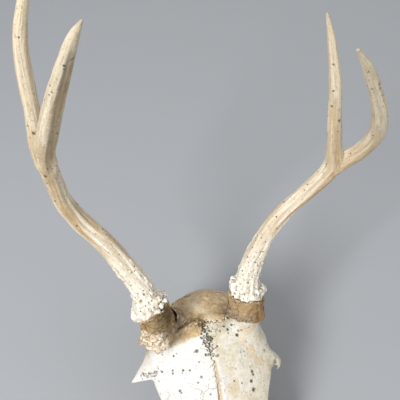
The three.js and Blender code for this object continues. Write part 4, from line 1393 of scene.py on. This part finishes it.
def antler_material(mottling, pores, cracks):
    made, f, surface = material("weathered antler")
    place, along, far = f.place(), f.mark("along", True), f.mark("far_up")
    broad, blotches, specks = use(f, mottling, Place=place, Scale=50.0)[:3]
    streaks, hair = f.noise(along, 3.2, 5, 0.6), f.noise(along, 11.0, 3, 0.6)
    foot, tip = f.between(far, 0.3, 0.04), f.between(far, 0.55, 0.95)
    pit = use(f, pores, Place=place, Scale=520.0, Share=f.line(foot, 0.28, 0.08))
    crack = use(f, cracks, Place=along, Scale=0.9, Reach=0.56)[0]
    stain_and_channel_shade = f.mix(blotches, colour("9c7c50"), colour("bb9c6c"))
    f.feed(surface.inputs["Base Color"], f.coats(
        colour("c2ab87"),
        (f.between(streaks, 0.36, 0.64), "e8dfcc"),
        (f.times(broad, 0.4), "d8c6a4"),
        (f.times(tip, 0.5), "ecddc0"),
        (f.times(foot, 0.75), "f0ece0"),
        # Stains, with painted shade along the channel of the right front tine.
        (f.times(f.mark("stain_and_channel_shade"), f.line(foot, -0.4, 0.75)), stain_and_channel_shade),
        (f.times(f.between(hair, 0.52, 0.7), 0.35), "967d50"),
        # Painted shade with dirt: darker in the grooves.
        (f.times(f.mark("hollow"), f.line(foot, 0.3, 0.6)), "7d6540"),
        # Painted highlight on the ridges.
        (f.times(f.mark("ridge"), 0.6), "fcf9ef"),
        (f.times(specks, 0.4), "75603f"),
        (f.times(pit["Pits"], 0.75), "443521"),
        (f.times(crack, 0.4), "6b5738"),
        (f.times(f.mark("speck"), 0.85), "3d2c1a")))
    f.feed(surface.inputs["Roughness"], f.line(tip, -0.16, f.line(blotches, 0.12, 0.52)))
    surface.inputs["Specular IOR Level"].default_value = 0.4
    height = f.line(hair, 0.9, f.noise(place, 1100.0, 3, 0.6))
    bump(f, surface, f.line(pit["Depth"], 1.5, height), 0.00035)
    return made


def hide_material(mottling, pores, cracks):
    made, f, surface = material("dried hide")
    place = f.place()
    broad, blotches, specks = use(f, mottling, Place=place, Scale=90.0)[:3]
    crack = use(f, cracks, Place=place, Scale=190.0, Reach=0.42)[0]
    pit = use(f, pores, Place=place, Scale=700.0, Share=0.25)[0]
    scab = f.mark("scab")
    crust = f.coats(f.mix(blotches, colour("fdf3e2"), colour("dfc39c")), (f.times(broad, 0.5), "ecd4b0"))
    f.feed(surface.inputs["Base Color"], f.coats(
        colour("806b57"),
        (broad, "a8927b"),
        (f.times(blotches, 0.55), "6a5543"),
        (f.times(f.between(f.mark("up_cuff"), 0.72, 0.95), 0.8), "b0946a"),
        (f.times(f.mark("rust"), 0.8), "99703a"),
        (f.times(scab, 0.9), crust),
        # Painted shade: dark on the hide under the right burr.
        (f.times(f.mark("painted_shelf_shade"), 0.85), "473818"),
        # Painted highlight on the ridges of the folds.
        (f.times(f.mark("ridge"), 0.6), "e6d5b4"),
        # Painted shade with dirt in the creases and folds.
        (f.times(f.mark("hollow"), f.line(scab, -0.35, 0.85)), "33261a"),
        (f.times(specks, f.line(scab, -0.3, 0.45)), "2f2418"),
        (f.times(f.sum("MAXIMUM", crack, pit), 0.6), "2a2017")))
    f.feed(surface.inputs["Roughness"], f.line(blotches, 0.15, 0.7))
    surface.inputs["Specular IOR Level"].default_value = 0.3
    bump(f, surface, f.line(crack, -1.4, f.noise(place, 800.0, 4, 0.7)), 0.0005)
    return made


# ---- making the pieces ----
def cover(made, finish):
    made.data.materials.clear()
    made.data.materials.append(finish)


def make_bones(skull, finishes):
    for name, field, low in bone_fields(skull):
        skin = Skin(field, low, SKULL_CELL)
        skin.smooth(1, 0.35)
        weather(skin)
        made = skin.piece(f"{name}_bone", bone_marks(skin))
        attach(made, "root")
        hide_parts(name)
        cover(made, finishes["parietal" if name == "parietal" else "bone"])


def make_object():
    shared = mottling_group(), pore_group(), crack_group()
    finishes = {
        "bone": bone_material("old bone", *shared, "e0dbcd", "c9bea2"),
        "parietal": bone_material("soil-browned bone", *shared, "e3d6b8", "cbb48a"),
    }
    skull = whole_skull()
    draw = np.random.default_rng(23)
    hide, antler = hide_material(*shared), antler_material(*shared)
    for name in SIDES:
        grown, lines = antler_space(name, draw)
        cover(hide_piece(skull, grown, name, draw), hide)
        cover(antler_piece(grown, lines, name), antler)
    make_bones(skull, finishes)


make_object()


# ---- floor and light ----
def make_floor():
    mesh = bpy.data.meshes.new("studio_floor")
    edge = 20.0
    corners = [(-edge, -edge, 0), (edge, -edge, 0), (edge, edge, 0), (-edge, edge, 0)]
    mesh.from_pydata(corners, [], [(0, 1, 2, 3)])
    floor = bpy.data.objects.new("studio_floor", mesh)
    floor.location.z = -0.0005
    bpy.context.scene.collection.objects.link(floor)
    made, _, surface = material("pale floor")
    surface.inputs["Base Color"].default_value = colour("a0a3a7")
    surface.inputs["Roughness"].default_value = 0.9
    cover(floor, made)


def soft_light(name, at, aim, size, watts):
    lamp = bpy.data.lights.new(name, "AREA")
    lamp.size = size
    lamp.energy = watts
    made = bpy.data.objects.new(name, lamp)
    made.location = at
    made.rotation_euler = (Vector(aim) - Vector(at)).to_track_quat("-Z", "Y").to_euler()
    bpy.context.scene.collection.objects.link(made)


def make_light():
    middle = (0.0, 0.05, 0.12)
    soft_light("window_light", (-0.62, -0.5, 1.05), middle, 0.4, 15.5)
    soft_light("fill_light", (0.9, -0.3, 0.9), middle, 1.0, 4)
    soft_light("back_light", (0.1, 1.1, 0.9), middle, 0.9, 3)
    world = bpy.data.worlds.new("studio_air")
    world.use_nodes = True
    world.node_tree.nodes["Background"].inputs["Color"].default_value = (1, 1, 1, 1)
    world.node_tree.nodes["Background"].inputs["Strength"].default_value = 0.4
    bpy.context.scene.world = world
    bpy.context.scene.view_settings.view_transform = "Standard"


make_floor()
make_light()
